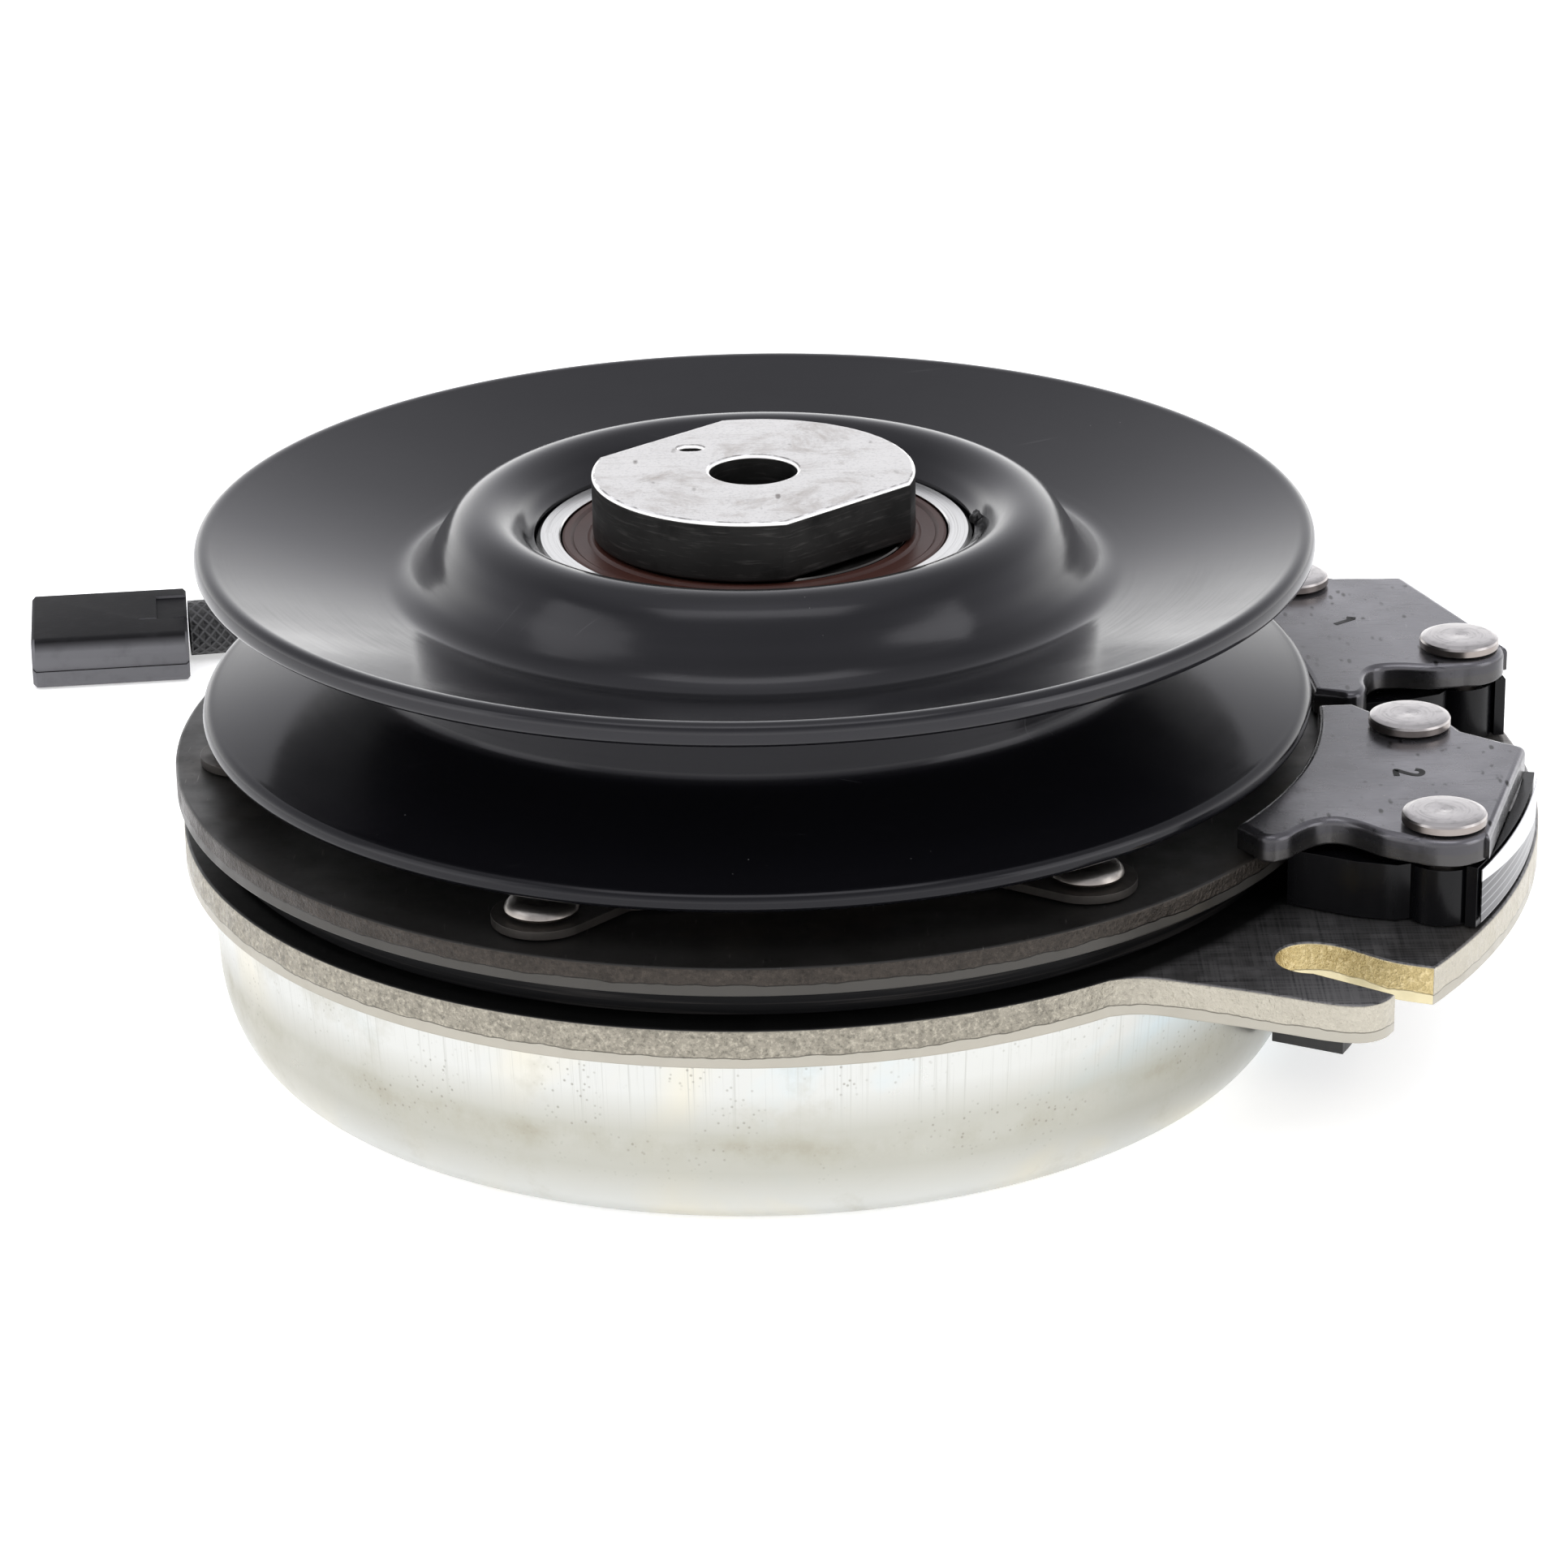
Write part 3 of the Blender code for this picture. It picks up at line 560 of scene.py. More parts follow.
def pole_finish():
    """Brake plates: blackened steel, pitted and scratched, torn at the lower edge."""
    f = Finish("pole_steel", (0.14, 0.137, 0.149), metallic=0.85, roughness=0.3)
    place = f.place()
    f.tint((0.24, 0.235, 0.25), f.span(f.mottle(70, 5.0), 0.45, 0.7), 0.6)
    pits = f.times(f.spots(f.stretch(place, (1.0, 0.35, 1.0), 12), 700, 0.30),
                   f.span(f.mottle(200, 2.0), 0.50, 0.58))
    f.tint((0.006, 0.006, 0.006), pits, 0.95)
    f.tint((0.025, 0.024, 0.026), f.span(f.streaks((150, 2400, 1), -24), 0.62, 0.74), 0.6)
    scrape = f.span(f.streaks((1900, 110, 1), -8), 0.66, 0.74)
    f.tint((0.34, 0.33, 0.34), f.times(scrape, f.span(f.mottle(90), 0.5, 0.6)), 0.5)
    f.bump(pits, -0.8, 0.2)
    f.bump(f.mottle(1400, 4.0), 0.22, 0.05)
    # Painted reflection: darker in colour towards the shaft, standing in for the dark pulley
    # mirrored in the plates.
    f.tint((0.030, 0.029, 0.033), f.radius_band(96.0, 81.0), 0.75)
    side = f.flip(f.facing_up(0.3, 0.6))
    low = f.span(f.math("ADD", f.xyz(place)[2], f.times(f.mottle(200), 1.0 * MM)),
                 (BRAKE_Z0 + 2.4) * MM, (BRAKE_Z0 + 2.1) * MM)
    f.tint((0.045, 0.044, 0.047), side, 0.8)
    f.tint((0.075, 0.072, 0.068), f.times(side, low), 0.6)
    f.roughness(f.span(f.mottle(240, 4.0), 0.3, 0.7, 0.17, 0.32))
    return f.done()


def turned_steel(name, colour, roughness, lines=3000.0):
    """Bright turned steel with rings round each piece's own axis."""
    f = Finish(name, colour, metallic=1.0, roughness=roughness)
    ringed = f.noise(f.round_place(lines, 0.8, 600, source="local"), 1.0, 2.0)
    f.tint(scaled(colour, 0.55), f.span(ringed, 0.5, 0.72), 0.6)
    mottled = f.mottle(700, 5.0)
    f.tint(scaled(colour, 0.45), f.span(mottled, 0.52, 0.75), 0.55)
    side = f.flip(f.facing_up(0.2, 0.7))
    f.tint(tuple(c * k for c, k in zip(colour, (0.50, 0.45, 0.41))), side, 0.85)
    f.bump(ringed, 0.35, 0.03)
    f.bump(mottled, 0.1, 0.04)
    return f.done()


def collar_finish():
    """Hub collar: light stained top, dark scratched sides, bright chamfer. The top-side contrast
    is partly painted light and shade; the bright chamfer is a painted highlight, with a painted
    dark line where the top rounds into it.
    """
    f = Finish("collar_steel", (0.042, 0.041, 0.040), metallic=0.9, roughness=0.4)
    place = f.place()
    up = f.facing_up(0.985, 0.999)
    chamfer = f.times(f.facing_up(0.12, 0.3), f.flip(up))
    side_scratch = f.streaks((200, 200, 2400), detail=4.0)
    f.tint((0.13, 0.125, 0.12), f.span(side_scratch, 0.55, 0.72), 0.6)
    f.tint((0.015, 0.015, 0.015), f.span(f.mottle(140, 5.0), 0.50, 0.70), 0.8)
    # The light top over dark sides is partly the steel's own finish and partly painted light and
    # shade.
    f.tint((0.66, 0.65, 0.64), up)
    blotches = f.mottle(95, 7.0, 0.75, 0.6)
    f.tint((0.38, 0.34, 0.31), f.times(up, f.span(blotches, 0.50, 0.69)), 0.8)
    speck = f.span(f.mottle(2400, 2.0), 0.5, 0.7)
    f.tint((0.44, 0.435, 0.43), f.times(up, speck), 0.5)
    nick = f.times(f.spots(f.stretch(place, (1.0, 0.3, 1.0), 40), 330, 0.16),
                   f.span(f.mottle(120), 0.52, 0.6))
    f.tint((0.10, 0.08, 0.07), f.times(up, nick), 0.8)
    mill = f.streaks((90, 1500, 1), 32, 3.0)
    f.tint((0.46, 0.44, 0.42), f.times(up, f.span(mill, 0.55, 0.75)), 0.5)
    # Painted highlight: the chamfer is near white in colour.
    f.tint((0.95, 0.94, 0.93), chamfer, 0.95)
    # Painted shade: a dark line, broken up by noise, where the top rounds into the chamfer.
    edge_shade_breakup = f.span(f.mottle(500, 4.0), 0.40, 0.62)
    painted_edge_shade = f.times(f.facing_up(0.80, 0.90), f.math("SUBTRACT", edge_shade_breakup, up, clamp=True))
    f.tint((0.12, 0.11, 0.10), painted_edge_shade, 0.8)
    f.bump(side_scratch, 0.25, 0.06)
    f.bump(f.mottle(1300, 3.0), 0.15, 0.04)
    f.roughness(f.span(blotches, 0.3, 0.7, 0.36, 0.5))
    return f.done()


def seal_finish():
    f = Finish("seal_rubber", (0.042, 0.014, 0.010), roughness=0.42, Specular_IOR_Level=0.25)
    f.tint((0.075, 0.034, 0.026), f.span(f.mottle(160, 4.0), 0.5, 0.75), 0.6)
    f.bump(f.mottle(1500, 3.0), 0.25, 0.04)
    return f.done()


def race_finish():
    f = Finish("race_steel", (0.60, 0.60, 0.59), metallic=1.0, roughness=0.2)
    lines = f.noise(f.round_place(5200, 1.5, 1800), 1.0, 2.0)
    f.tint((0.30, 0.29, 0.28), f.span(lines, 0.5, 0.8), 0.6)
    # Painted shade: darker in colour inside 24 mm radius, on the inner race under the hub
    # collar's edge.
    f.tint((0.05, 0.046, 0.043), f.radius_band(24.0, 22.8), 0.95)
    f.bump(lines, 0.2, 0.02)
    return f.done()


def plastic_finish(name, colour, roughness, grain=0.12, shine=0.5):
    f = Finish(name, colour, roughness=roughness, Specular_IOR_Level=shine)
    scuff = f.streaks((500, 500, 90), detail=4.0)
    f.tint(tuple(c * 2.5 + 0.0015 for c in colour), f.span(scuff, 0.62, 0.8), 0.5)
    f.bump(f.mottle(1200, 3.0), grain, 0.04)
    f.roughness(f.span(scuff, 0.3, 0.8, roughness * 0.8, roughness * 1.6))
    return f.done()


def plug_finish():
    """Dull moulded plastic, lighter on its upright faces and darker on top: painted light and
    shade.
    """
    f = Finish("plug_plastic", (0.125, 0.124, 0.132), roughness=0.62, Specular_IOR_Level=0.1)
    # Painted shade: the top is darkened in colour, leaving the upright faces lighter.
    f.tint((0.006, 0.0058, 0.0068), f.facing_up(0.45, 0.9))
    f.tint((0.03, 0.029, 0.032), f.span(f.mottle(300, 5.0), 0.5, 0.8), 0.3)
    f.bump(f.mottle(1500, 3.0), 0.35, 0.05)
    return f.done()


def braid_finish():
    """Braided sleeve: two sets of yarns that cross at a slant."""
    f = Finish("cable_black", (0.014, 0.014, 0.015), roughness=0.5)
    yarns, slant = 14, 3300.0
    u, v, _ = f.xyz(f.place("UV"))
    along = f.times(u, slant)
    around = f.times(v, 2 * math.pi * yarns)
    a = f.math("SINE", f.math("ADD", along, around))
    b = f.math("SINE", f.math("SUBTRACT", along, around))
    weave = f.math("MAXIMUM", a, b)
    f.tint((0.055, 0.055, 0.058), f.span(weave, 0.45, 0.98), 0.8)
    f.bump(weave, 0.9, 0.3)
    return f.done()


def simple_finish(name, colour, metallic, roughness):
    """Worn, mottled finish for pieces seen only in part."""
    f = Finish(name, colour, metallic=metallic, roughness=roughness)
    mottled = f.mottle(300.0, 5.0)
    f.tint(scaled(colour, 0.55), f.span(mottled, 0.5, 0.75), 0.7)
    f.bump(mottled, 0.15, 0.06)
    f.roughness(f.span(mottled, 0.3, 0.75, roughness * 0.8, min(roughness * 1.4, 1.0)))
    return f.done()


def label_finish():
    """Plain silver foil with dark printed bars and no lettering."""
    f = Finish("label_foil", (0.62, 0.62, 0.64), metallic=0.9, roughness=0.25)
    _, y, z = f.xyz(f.place())
    low = f.math("LESS_THAN", f.math("ADD", z, f.times(y, 0.12)), (PLATE_Z1 + 0.5) * MM)
    f.tint((0.02, 0.02, 0.022), low, 0.95)
    lines = f.span(f.math("SINE", f.times(z, 5200.0)), 0.75, 0.9)
    f.tint((0.30, 0.30, 0.31), f.times(low, lines), 0.6)
    f.bump(f.mottle(400, 3.0), 0.3, 0.08)
    return f.done()


# ---- field
def field_plate_outline():
    rim = arc(0, 0, PLATE_R, 58, 303.5, 150)
    hook = flowing([(46.6, -68.7), (49.5, -68.1), (52.9, -68.5), (58.0, -70.4), (63.2, -72.4),
                    (68.9, -74.8), (74.5, -77.3), (78.3, -78.3), (80.8, -77.9),
                    (82.6, -76.6), (83.8, -74.7)], 5)
    slot = [(83.9, -74.4), (73.8, -67.5)] + arc(74.1, -62.6, 4.9, -112, -262, 18)
    slot += flowing([(74.1, -57.7), (76.3, -58.15), (78.9, -59.6), (81.5, -61.9),
                     (84.1, -64.0), (86.8, -65.4), (90.0, -66.6)], 4)
    tail = arc(0, 0, TAIL_R, -35.8, 36, 60)
    back = flowing([(88.5, 66.2), (86.0, 68.4), (78.0, 71.0), (66.0, 72.2), (55.0, 73.0),
                    (49.0, 73.0)], 4)
    return rim + hook + slot[1:] + tail + back


def build_field(zinc, plated):
    a, b = SHELL_CORNER_R, SHELL_CORNER_H
    corner = [(SHELL_R_LOW - a + a * c, b - b * s) for c, s in arc(0, 0, 1.0, 0, 90, 15)]
    wall = [(SHELL_R_TOP, SHELL_TOP - 0.3), (79.8, 24.0), (79.55, 21.0), (79.25, 17.0)]
    inner = [(SHELL_EYE_R, SHELL_WALL), (70.0, SHELL_WALL), (74.6, 5.0), (76.0, 13.0),
             (76.4, SHELL_TOP)]
    turned("shell", [(SHELL_R_TOP - 0.4, SHELL_TOP)] + wall + corner
           + [(SHELL_EYE_R + 0.6, 0.0), (SHELL_EYE_R, 0.6)] + inner,
           "field", ["field_shell"], zinc, 256)
    holes = [circle(0, 0, PLATE_OPENING_R, 160)]
    holes += [circle(*polar(r, a + turn), PIN_R + GAP, 24) for turn in MODULE_TURNS
              for r, a in PINS]
    stamped("tail_plate", [field_plate_outline()] + holes, PLATE_Z0, PLATE_Z1, "field",
            ["field_plate"], plated, bevel=(0.45, 0.2))


# ---- brake
def brake_plate_outline():
    face = arc(0, 0, 80.5, -36, -2.5, 40)
    near, far = polar(*PINS[1]), polar(*PINS[0])
    rear = [(85.5, -3.2)] + arc(*near, 6.3, 125, 10, 14)
    side = flowing([(99.8, -14.6), (101.8, -16.2), (105.0, -18.9), (107.0, -20.3),
                    (107.7, -21.4), (107.3, -23.2)], 4)
    front = [(98.7, -52.8)] + arc(*far, 6.6, -38, -128, 14)
    scoop = flowing([(88.9, -53.6), (86.9, -52.6), (84.3, -51.0), (81.4, -48.0),
                     (78.6, -46.4), (76.0, -47.0), (73.6, -49.0), (71.8, -51.2),
                     (69.6, -52.3), (67.9, -51.7), (67.1, -50.2)], 4)
    return face + rear + side + front + scoop


def housing_outline():
    face = arc(0, 0, 85.2, -32, -4.5, 30)
    return face + [(95.5, -8.2), (99.6, -14.5), (101.5, -20.0), (97.5, -36.0),
                   (91.0, -50.0), (86.5, -51.3), (81.0, -49.8)]


def numeral(name, line, place, heading, material):
    """A plain position number drawn as one stroke, its top towards the heading. The stroke is a
    dark ribbon of painted shadow standing in for a stamped recess.
    """
    bm = bmesh.new()
    sections = []
    for i, p in enumerate(line):
        before = (Vector(p) - Vector(line[max(i - 1, 0)])).normalized()
        after = (Vector(line[min(i + 1, len(line) - 1)]) - Vector(p)).normalized()
        ahead = (before + after).normalized()
        across = Vector((-ahead.y, ahead.x)) * MARK_HALF_STROKE
        sides = turn_points([Vector(p) + across, Vector(p) - across], heading - 90)
        sections.append([vert(bm, x + place[0], y + place[1], z)
                         for z, order in ((BRAKE_Z1 - 0.2, 1), (BRAKE_Z1 + 0.04, -1))
                         for x, y in sides[::order]])
    for a, b in zip(sections, sections[1:]):
        bridge(bm, a, b)
    bm.faces.new(sections[0])
    bm.faces.new(sections[-1])
    settle(bm, name, "field", [], material)


def build_brake(pole, plastic, pin_steel, foil, stamp_shadow_material):
    pins = [polar(r, a) for r, a in PINS]
    strokes = ([(-0.9, 1.2), (-0.1, 1.9), (0.1, 1.6), (0.1, -2.0)],
               flowing([(-1.0, 1.0), (-0.75, 1.65), (0.05, 1.9), (0.9, 1.5), (0.95, 0.7),
                        (0.25, -0.4), (-0.75, -1.5), (-0.6, -1.75), (1.25, -1.75)], 4))
    for module, turn in enumerate(MODULE_TURNS, 1):
        tag = "_%d" % module
        holes = [circle(x, y, PIN_R + GAP, 24) for x, y in pins]
        stamped("pole_plate" + tag, [brake_plate_outline()] + holes, BRAKE_Z0, BRAKE_Z1,
                "field", ["brake_plate" + tag], pole, (0.95, 0.3), turn, 5)
        radius, angle = MARK_PLACES[module - 1]
        # Painted shadow: the numeral is a dark ribbon in place of the shade in a stamped recess.
        numeral("mark" + tag, strokes[module - 1], polar(radius, angle + turn), turn - 1.0, stamp_shadow_material)

        bm = bmesh.new()
        pockets = [turn_points([(POCKET_R + x * POCKET_X, y * POCKET_Y) for x, y in
                                ((-1, -1), (1, -1), (1, 1), (-1, 1))], side + turn)
                   for side in POCKET_ANGLES]
        z0 = PLATE_Z1 + GAP
        block = turn_points(housing_outline(), turn)
        plate(bm, [block] + pockets, z0, HOUSING_Z1)
        wall = band(WALL_R0, WALL_R1, WALL_A0 + turn, WALL_A1 + turn, 40)
        plate(bm, [wall], z0, WALL_Z1)
        web = band(WEB_R0, WALL_R0 + 0.8, WEB_A0 + turn, WEB_A1 + turn, 6)
        plate(bm, [web], z0, HOUSING_Z1 - 0.4)
        centres = turn_points(pins, turn)
        for x, y in centres:
            plate(bm, [circle(x, y, BOSS_R, 48), circle(x, y, PIN_R + GAP, 24)],
                  z0, HOUSING_Z1)
        settle(bm, "housing" + tag, "field", ["magnet_housing" + tag],
               plastic, bevel=0.25)
        for i, centre in enumerate(centres):
            number = 2 * module - 1 + i
            head, top = PIN_HEAD_R, PIN_HEAD_Z1
            peg("pin_%d" % number,
                [(PIN_R, PLATE_Z0 + GAP), (PIN_R, PIN_HEAD_Z0), (head - 0.25, PIN_HEAD_Z0),
                 (head, PIN_HEAD_Z0 + 0.2), (head, top - 0.6), (head - 0.18, top - 0.3),
                 (head - 0.75, top - 0.06), (head - 1.1, top), (0.9, top - 0.01),
                 (0.5, top - 0.06), (0.1, top - 0.09)], centre,
                "field", ["brake_pin_%d" % number], pin_steel, 72)
    sheet = band(WALL_R1 + GAP, WALL_R1 + GAP + FOIL_THICK, FOIL_A0, FOIL_A1, 40)
    stamped("foil", [sheet], PLATE_Z1 + 0.9, WALL_Z1 - 0.4, "field", ["label_foil"],
            foil, bevel=0.0)


# ---- rotor
def build_rotor(black, collar_steel, race):
    slots = [band(ROTOR_SLOT_R1, ROTOR_SLOT_R0, 60 * i - ROTOR_SLOT_HALF,
                  60 * i + ROTOR_SLOT_HALF, 20) for i in range(6)]
    bm = bmesh.new()
    plate(bm, [circle(0, 0, ROTOR_R, 256), circle(0, 0, HUB_R + GAP, 96)] + slots,
          ROTOR_Z0 + 0.2, ROTOR_Z1)
    for r0, r1 in ROTOR_SKIRTS:
        plate(bm, [circle(0, 0, r1, 128), circle(0, 0, r0, 128)], SKIRT_Z0, ROTOR_Z0 + 0.3)
    settle(bm, "rotor", "rotor", ["rotor_disc"], black, bevel=0.3)

    half = math.degrees(math.acos(COLLAR_FLAT / COLLAR_R))
    outline = [p for flat in (COLLAR_FLAT_ANGLE, COLLAR_FLAT_ANGLE + 180)
               for p in arc(0, 0, COLLAR_R, flat + half, flat + 180 - half, 60)]
    x, y = polar(GAUGE_HOLE_AT, COLLAR_FLAT_ANGLE + 180)
    gauge_hole = (arc(x + GAUGE_HOLE_HALF, y, GAUGE_HOLE_R, -90, 90, 10)
                  + arc(x - GAUGE_HOLE_HALF, y, GAUGE_HOLE_R, 90, 270, 10))
    stamped("collar", [outline, circle(0, 0, BOLT_HOLE_R, 96), gauge_hole],
            COLLAR_Z0, COLLAR_Z1, "rotor", ["hub_collar"], collar_steel,
            bevel=(0.5, 0.3))
    for outer_body, z0 in BEARING_Z0.items():
        build_races(outer_body, z0, race)


def build_races(outer_body, z0, race):
    """Both races of a ball bearing between the rotor and the outer body."""
    z1, mid, pitch, groove = z0 + BEARING_W, z0 + BEARING_W / 2, BEARING_PITCH_R, BEARING_GROOVE_R
    for kind, shoulder, back, body, side in (("inner", 21.9, 17.6, "rotor", -1),
                                             ("outer", 27.6, 31.0, outer_body, 1)):
        reach = math.degrees(math.acos(abs(shoulder - pitch) / groove))
        centre = 0 if side > 0 else 180
        track = sorted(arc(pitch, mid, groove, centre - reach, centre + reach, 12),
                       key=lambda p: p[1])
        profile = [(back, z0 + 0.5), (back - 0.5 * side, z0), (shoulder, z0)] + track
        profile += [(shoulder, z1 - 0.2), (shoulder + 0.2 * side, z1),
                    (back - 0.6 * side, z1), (back, z1 - 0.6)]
        name = "%s_bearing_%s" % (outer_body, kind)
        turned(name, profile, body, [name + "_race"], race, 160, 24)


# ---- pulley
def build_pulley(paint, low_paint, seal, steel, rivet):
    crown = flowing([(31.3, 72.2), (31.7, 72.6), (32.6, 73.4), (34.1, 75.0), (36.2, 76.2),
                     (38.3, 76.6), (40.5, 76.2), (42.6, 74.9), (44.7, 72.2), (46.6, 69.2),
                     (48.6, 67.0), (51.2, 66.2), (54.5, 66.8)], 5)
    rim = flowing([(76.5, 73.05), (77.6, 73.33), (78.5, 73.25), (79.15, 72.7), (79.4, 71.8),
                   (79.35, 70.9), (78.9, 70.3), (78.2, 70.1), (77.2, 69.75)], 4)
    under = [(56.0, 63.9), (52.0, 63.2), (47.2, 63.5), (45.0, 65.2), (42.6, 69.6),
             (40.6, 72.6), (38.3, 73.5), (36.2, 72.6), (34.6, 70.5), (34.3, 68.0),
             (34.3, 57.7), (31.3, 57.7)]
    turned("upper_flange", crown + rim + under, "pulley", ["pulley_upper_flange"],
           paint, 320, 40)
    root = [(48.0, 62.9), (54.4, 62.9), (55.3, 62.6), (55.8, 62.0), (56.0, 60.9)]
    root += flowing([(56.0, 58.2), (56.25, 56.8), (57.0, 55.7), (58.4, 55.0),
                     (60.5, 54.4)], 5)
    lip = flowing([(76.5, 50.1), (77.6, 49.82), (78.5, 49.6), (79.15, 49.05), (79.4, 48.3),
                   (79.35, 47.6), (78.9, 47.1), (78.2, 46.95), (77.2, 47.1)], 4)
    under = [(54.6, 53.3), (53.3, 54.3), (52.8, 55.9), (52.8, 60.1), (48.0, 60.1)]
    turned("lower_flange", root + lip + under, "pulley", ["pulley_lower_flange"],
           low_paint, 320, 40)

    z0 = BEARING_Z0["pulley"]
    for name, z, up in (("upper", z0 + BEARING_W - SEAL_IN, 1), ("lower", z0 + SEAL_IN, -1)):
        face = [(22.2, 0.0), (27.3, 0.0), (27.3, 0.5), (27.0, 0.7), (26.2, 0.75),
                (25.9, 0.6), (25.7, 0.4), (23.7, 0.4), (23.5, 0.6), (23.2, 0.75), (22.2, 0.75)]
        turned("seal_" + name, [(r, z + up * h) for r, h in face], "pulley",
               ["pulley_bearing_seal_" + name], seal, 160, 24)
    face = [(22.2, 0.0), (27.3, 0.0), (27.3, -0.5), (26.6, -0.75), (23.2, -0.75),
            (22.2, -0.6)]
    z = BEARING_Z0["field"] + FIELD_SEAL_IN
    turned("seal_field", [(r, z + h) for r, h in face], "field", ["field_bearing_seal"],
           seal, 128, 24)

    eye_x, eye_y = polar(RIVET_CIRCLE, 30)
    dome = [(2.4, ARM_Z0 + 0.4), (2.4, 43.2), (4.95, 43.2), (5.05, 43.5), (4.85, 44.0),
            (4.3, 44.6), (3.5, 45.0), (2.4, 45.3), (1.2, 45.42), (0.3, 45.4)]
    for k in (1, 2, 3):
        turn = FIRST_SPRING + 120 * (k - 1)
        bow = (arc(eye_x, eye_y, SPRING_EYE_R, -40, 140, 24)
               + [(50.5, 31.7), (50.5, -31.7)]
               + arc(eye_x, -eye_y, SPRING_EYE_R, 220, 400, 24)
               + [(62.5, -24.9), (62.5, 24.9)])
        holes = ((POST_CIRCLE, 0, POST_HOLE_R), (eye_x, eye_y, RIVET_HOLE_R),
                 (eye_x, -eye_y, RIVET_HOLE_R))
        loops = [bow] + [circle(*hole, 24) for hole in holes]
        stamped("spring_%d" % k, loops, SPRING_Z0, SPRING_Z1, "pulley", ["leaf_spring_%d" % k],
                steel, bevel=0.2, turn=turn, segments=2)
        peg("post_%d" % k, [(4.6, 39.9), (4.8, 40.1), (4.8, 41.2), (2.8, 41.2), (2.8, 43.0),
                            (4.9, 43.0), (4.9, 51.0)], polar(POST_CIRCLE, turn), "pulley",
            ["spring_post_%d" % k], paint)
        for i, side in enumerate((-30, 30)):
            number = 2 * k - 1 + i
            peg("rivet_%d" % number, dome, polar(RIVET_CIRCLE, turn + side), "armature",
                ["armature_rivet_%d" % number], rivet, 48)


def build_armature(steel):
    places = [FIRST_SPRING + 120 * k for k in range(3)]
    loops = [circle(0, 0, ARM_R1, 288), circle(0, 0, ARM_R0, 144)]
    loops += [circle(*polar(RIVET_CIRCLE, a + s), RIVET_HOLE_R, 24)
              for a in places for s in (-30, 30)]
    loops += [circle(*polar(POST_CIRCLE, a), POST_CLEAR_R, 32) for a in places]
    stamped("armature", loops, ARM_Z0, ARM_Z1, "armature", ["armature_disc"],
            steel, bevel=(0.45, 0.2))


def build_staking(material):
    """Small torn bits of paint where the bearing is staked in."""
    for i, (angle, radius, size) in enumerate(((2.5, 31.7, 1.1), (-1.5, 32.3, 0.8),
                                               (6.0, 31.9, 0.7))):
        bm = bmesh.new()
        bmesh.ops.create_icosphere(bm, subdivisions=3, radius=1.0)
        x, y = polar(radius, angle)
        for v in bm.verts:
            p = v.co
            wobble = 1 + 0.25 * math.sin(5 * p.x + i) * math.cos(4 * p.y - i)
            v.co = Vector(((x + p.x * size * wobble * 0.8) * MM,
                           (y + p.y * size * wobble) * MM,
                           (STAKING_Z + p.z * size * wobble * 0.8) * MM))
        settle(bm, "staking_%d" % (i + 1), "pulley", [], material)


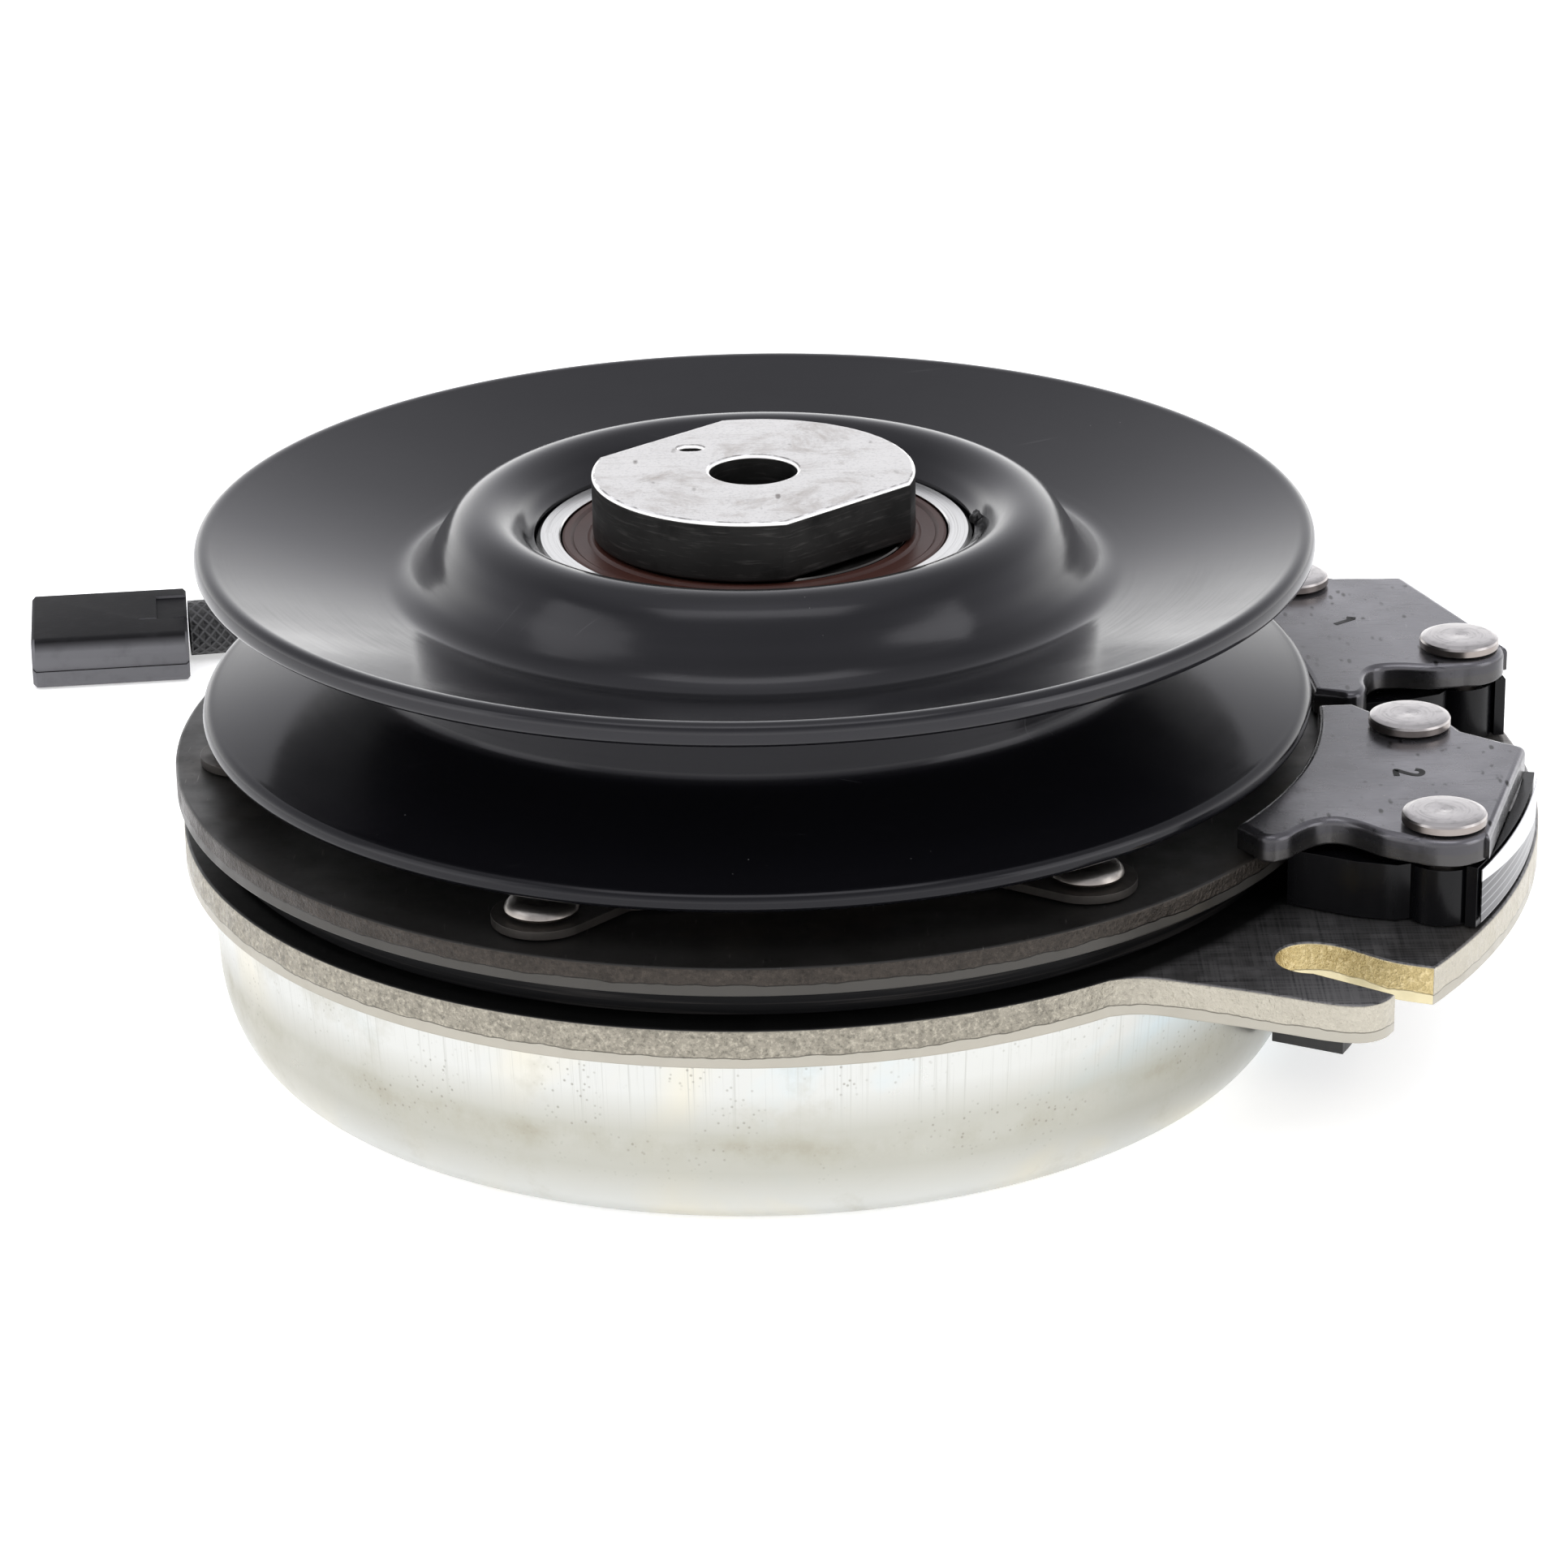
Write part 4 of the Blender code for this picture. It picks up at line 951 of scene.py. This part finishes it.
# ---- lead
def build_lead(braid, rubber, plastic):
    turn, width = CONNECTOR_TURN, CONNECTOR_W
    c, s = math.cos(math.radians(turn)), math.sin(math.radians(turn))
    gate = (CONNECTOR_AT[0] + s * width / 2 - c * GAP,
            CONNECTOR_AT[1] - c * width / 2 - s * GAP, LEAD_ROUTE[-1][2])
    path = flowing(LEAD_ROUTE + (gate,), 6)
    sleeve = tube("sleeve", path, LEAD_R, "field", ["lead_sleeve"], braid)

    grip = band(SHELL_R_TOP + GAP + 0.1, SHELL_R_TOP + GRIP_OUT, GRIP_A0, GRIP_A1, 12)
    stamped("grommet", [grip], GRIP_Z0, PLATE_Z0 - GAP, "field", ["lead_grommet"],
            rubber, bevel=2.2, segments=5)

    def seat(x, y, z=0.0):
        return (CONNECTOR_AT[0] + x * c - y * s, CONNECTOR_AT[1] + x * s + y * c, z)

    def corner(y, z, r, a0):
        return arc(y, z, r, a0, a0 + 90, 8)

    outer = (corner(-width + 1.0, 1.0, 1.0, 180) + corner(-1.2, 1.2, 1.2, 270)[:-1]
             + [(0.0, 2.9), (-0.12, 3.05), (-0.4, 3.1)]
             + corner(-3.6, CONNECTOR_H - 3.2, 3.2, 0)
             + corner(-width + 1.4, CONNECTOR_H - 1.4, 1.4, 90))
    inner = [(-width + 1.8, 1.5), (-1.8, 1.5), (-1.8, 5.6), (-2.6, 6.5), (-width + 1.8, 6.5)]
    ends = (0.0, 0.5, CONNECTOR_L - 0.6, CONNECTOR_L)
    tucks = (0.4, 0.0, 0.0, 0.5)
    mid = (-width / 2, CONNECTOR_H / 2)

    def shrunk(y, z, by):
        return (y + (by if y < mid[0] else -by), z + (by if z < mid[1] else -by))

    bm = bmesh.new()
    loops = [[vert(bm, *seat(x, *shrunk(y, z, by))) for y, z in outer]
             for x, by in zip(ends, tucks)]
    for a, b in zip(loops, loops[1:]):
        bridge(bm, a, b)
    bm.faces.new(loops[0])
    mouth = [vert(bm, *seat(CONNECTOR_L, y, z)) for y, z in inner]
    deep = [vert(bm, *seat(CONNECTOR_L - SOCKET_DEPTH, y, z)) for y, z in inner]
    bridge(bm, mouth, deep)
    bm.faces.new(deep)
    rim = [[Vector((*shrunk(y, z, tucks[-1]), 0.0)) for y, z in outer],
           [Vector((y, z, 0.0)) for y, z in inner]]
    ring = loops[-1] + mouth
    for cell in tessellate_polygon(rim):
        bm.faces.new([ring[i] for i in cell])
    body = settle(bm, "plug", "field", ["connector_body"], plastic,
                  angle=40)

    recess = [(-1.0, -width + 4.5), (5.2, -width + 4.5), (5.2, -width + 15.0),
              (-1.0, -width + 15.0)]
    slit = [(-1.0, -width + 15.0), (8.0, -width + 15.0), (8.4, -width + 15.35),
            (8.0, -width + 15.7), (-1.0, -width + 15.7)]
    for outline, depth in ((recess, 0.45), (slit, 1.3)):
        carve(body, [seat(x, y)[:2] for x, y in outline], CONNECTOR_H - depth, CONNECTOR_H + 2)


def carve(obj, outline, z0, z1):
    """Cut an upright prism out of a piece, for good."""
    bm = bmesh.new()
    plate(bm, [outline], z0, z1)
    bmesh.ops.recalc_face_normals(bm, faces=bm.faces)
    tool = placed("cutter", mesh_of(bm, "cutter"))
    step = obj.modifiers.new("Cut", "BOOLEAN")
    step.operation, step.solver, step.object = "DIFFERENCE", "EXACT", tool
    graph = bpy.context.evaluated_depsgraph_get()
    result = bpy.data.meshes.new_from_object(obj.evaluated_get(graph))
    obj.modifiers.remove(step)
    obj.data = result
    result.set_sharp_from_angle(angle=math.radians(40))
    bpy.data.objects.remove(tool, do_unlink=True)


# ---- floor and light
def build_studio():
    bm = bmesh.new()
    bmesh.ops.create_grid(bm, x_segments=1, y_segments=1, size=FLOOR_HALF * MM)
    floor = placed("floor", mesh_of(bm, "floor"))
    floor.location.z = FLOOR_Z * MM
    f = Finish("floor_white", (0.92, 0.92, 0.92), roughness=0.6, Emission_Strength=0.45,
               Emission_Color=(1.0, 1.0, 1.0, 1.0))
    floor.data.materials.append(f.done())

    world = bpy.data.worlds.new("studio")
    scene.world = world
    world.use_nodes = True
    tree = world.node_tree
    back = tree.nodes["Background"]
    place = tree.nodes.new("ShaderNodeTexCoord")
    split = tree.nodes.new("ShaderNodeSeparateXYZ")
    ramp = tree.nodes.new("ShaderNodeValToRGB")
    tree.links.new(place.outputs["Generated"], split.inputs[0])
    tree.links.new(split.outputs["Z"], ramp.inputs[0])
    tree.links.new(ramp.outputs[0], back.inputs["Color"])
    stops = ramp.color_ramp.elements
    stops[0].color = (2.3, 2.3, 2.3, 1)
    stops[1].position, stops[1].color = 0.10, (2.2, 2.2, 2.2, 1)
    for position, level in ((0.36, 1.15), (0.52, 0.85), (0.76, 0.62), (0.93, 0.80),
                            (1.0, 1.2)):
        stop = stops.new(position)
        stop.color = (level, level, level * 1.05, 1)
    back.inputs["Strength"].default_value = 1.0

    def softbox(name, spot, target, size, power, glossy=True):
        data = bpy.data.lights.new(name, "AREA")
        data.shape = "RECTANGLE"
        data.size, data.size_y = size
        data.energy = power
        lamp = placed(name, data)
        lamp.location = spot
        aim = Vector(target) - Vector(spot)
        lamp.rotation_euler = aim.to_track_quat("-Z", "Y").to_euler()
        lamp.visible_glossy = glossy
        lamp.visible_camera = False

    softbox("top_light", (0.0, 0.1, 1.6), (0.0, 0.0, 0.0), (2.4, 2.4), 12.5, glossy=False)
    softbox("top_strip", (0.0, -0.45, 1.5), (0.0, 0.0, 0.0), (1.3, 0.5), 3.0)
    softbox("left_box", (-1.3, -0.5, 0.7), (0.0, 0.0, 0.04), (0.9, 1.0), 3.2)
    softbox("right_box", (1.4, -0.6, 0.6), (0.0, 0.0, 0.04), (0.9, 1.0), 4.5)
    scene.view_settings.view_transform = "Standard"


def dress_frame():
    """Finishes for the CAD nodes that stay as they are."""
    looks = {slot: simple_finish(*look) for slot, look in {
        "copper": ("winding_copper", (0.45, 0.17, 0.07), 0.9, 0.4),
        "oiled_steel": ("inner_steel", (0.13, 0.12, 0.11), 0.9, 0.4),
        "pole_steel": ("shim_steel", (0.16, 0.16, 0.17), 0.9, 0.4),
        "magnet": ("ferrite", (0.035, 0.035, 0.037), 0.3, 0.6),
        "hub_steel": ("hub_steel", (0.42, 0.41, 0.39), 0.95, 0.35),
        "race_steel": ("cage_steel", (0.5, 0.5, 0.5), 1.0, 0.3),
        "terminal": ("terminal", (0.62, 0.56, 0.42), 1.0, 0.3)}.items()}
    looks["bobbin_plastic"] = plastic_finish("bobbin_plastic", (0.02, 0.02, 0.02), 0.5)
    for part in frame["record"]["subparts"]:
        obj = frame["nodes"][part["node"]]
        look = looks.get(part["material_slot"])
        if look and not obj.hide_render:
            obj.data.materials.clear()
            obj.data.materials.append(look)


pulley_paint = pulley_finish("pulley_black", 0.4)
race_metal = race_finish()
shiny_black = plastic_finish("housing_black", (0.0015, 0.0015, 0.002), 0.22, 0.05, 0.2)
build_lead(braid_finish(), plastic_finish("grommet_black", (0.012, 0.012, 0.012), 0.45),
           plug_finish())
build_field(zinc_finish(), plate_finish())
build_rotor(rotor_finish(), collar_finish(), race_metal)
build_pulley(pulley_paint, pulley_finish("pulley_black_low", 0.24), seal_finish(),
             simple_finish("spring_steel", (0.05, 0.045, 0.041), 0.8, 0.4),
             turned_steel("rivet_steel", (0.38, 0.36, 0.34), 0.30, 1900.0))
build_armature(armature_finish())
build_brake(pole_finish(), shiny_black,
            turned_steel("pin_steel", (0.50, 0.48, 0.475), 0.28), label_finish(),
            simple_finish("stamp_shadow", (0.006, 0.006, 0.006), 0.2, 0.6))
build_staking(simple_finish("torn_paint", (0.008, 0.008, 0.008), 0.0, 0.5))
dress_frame()
build_studio()
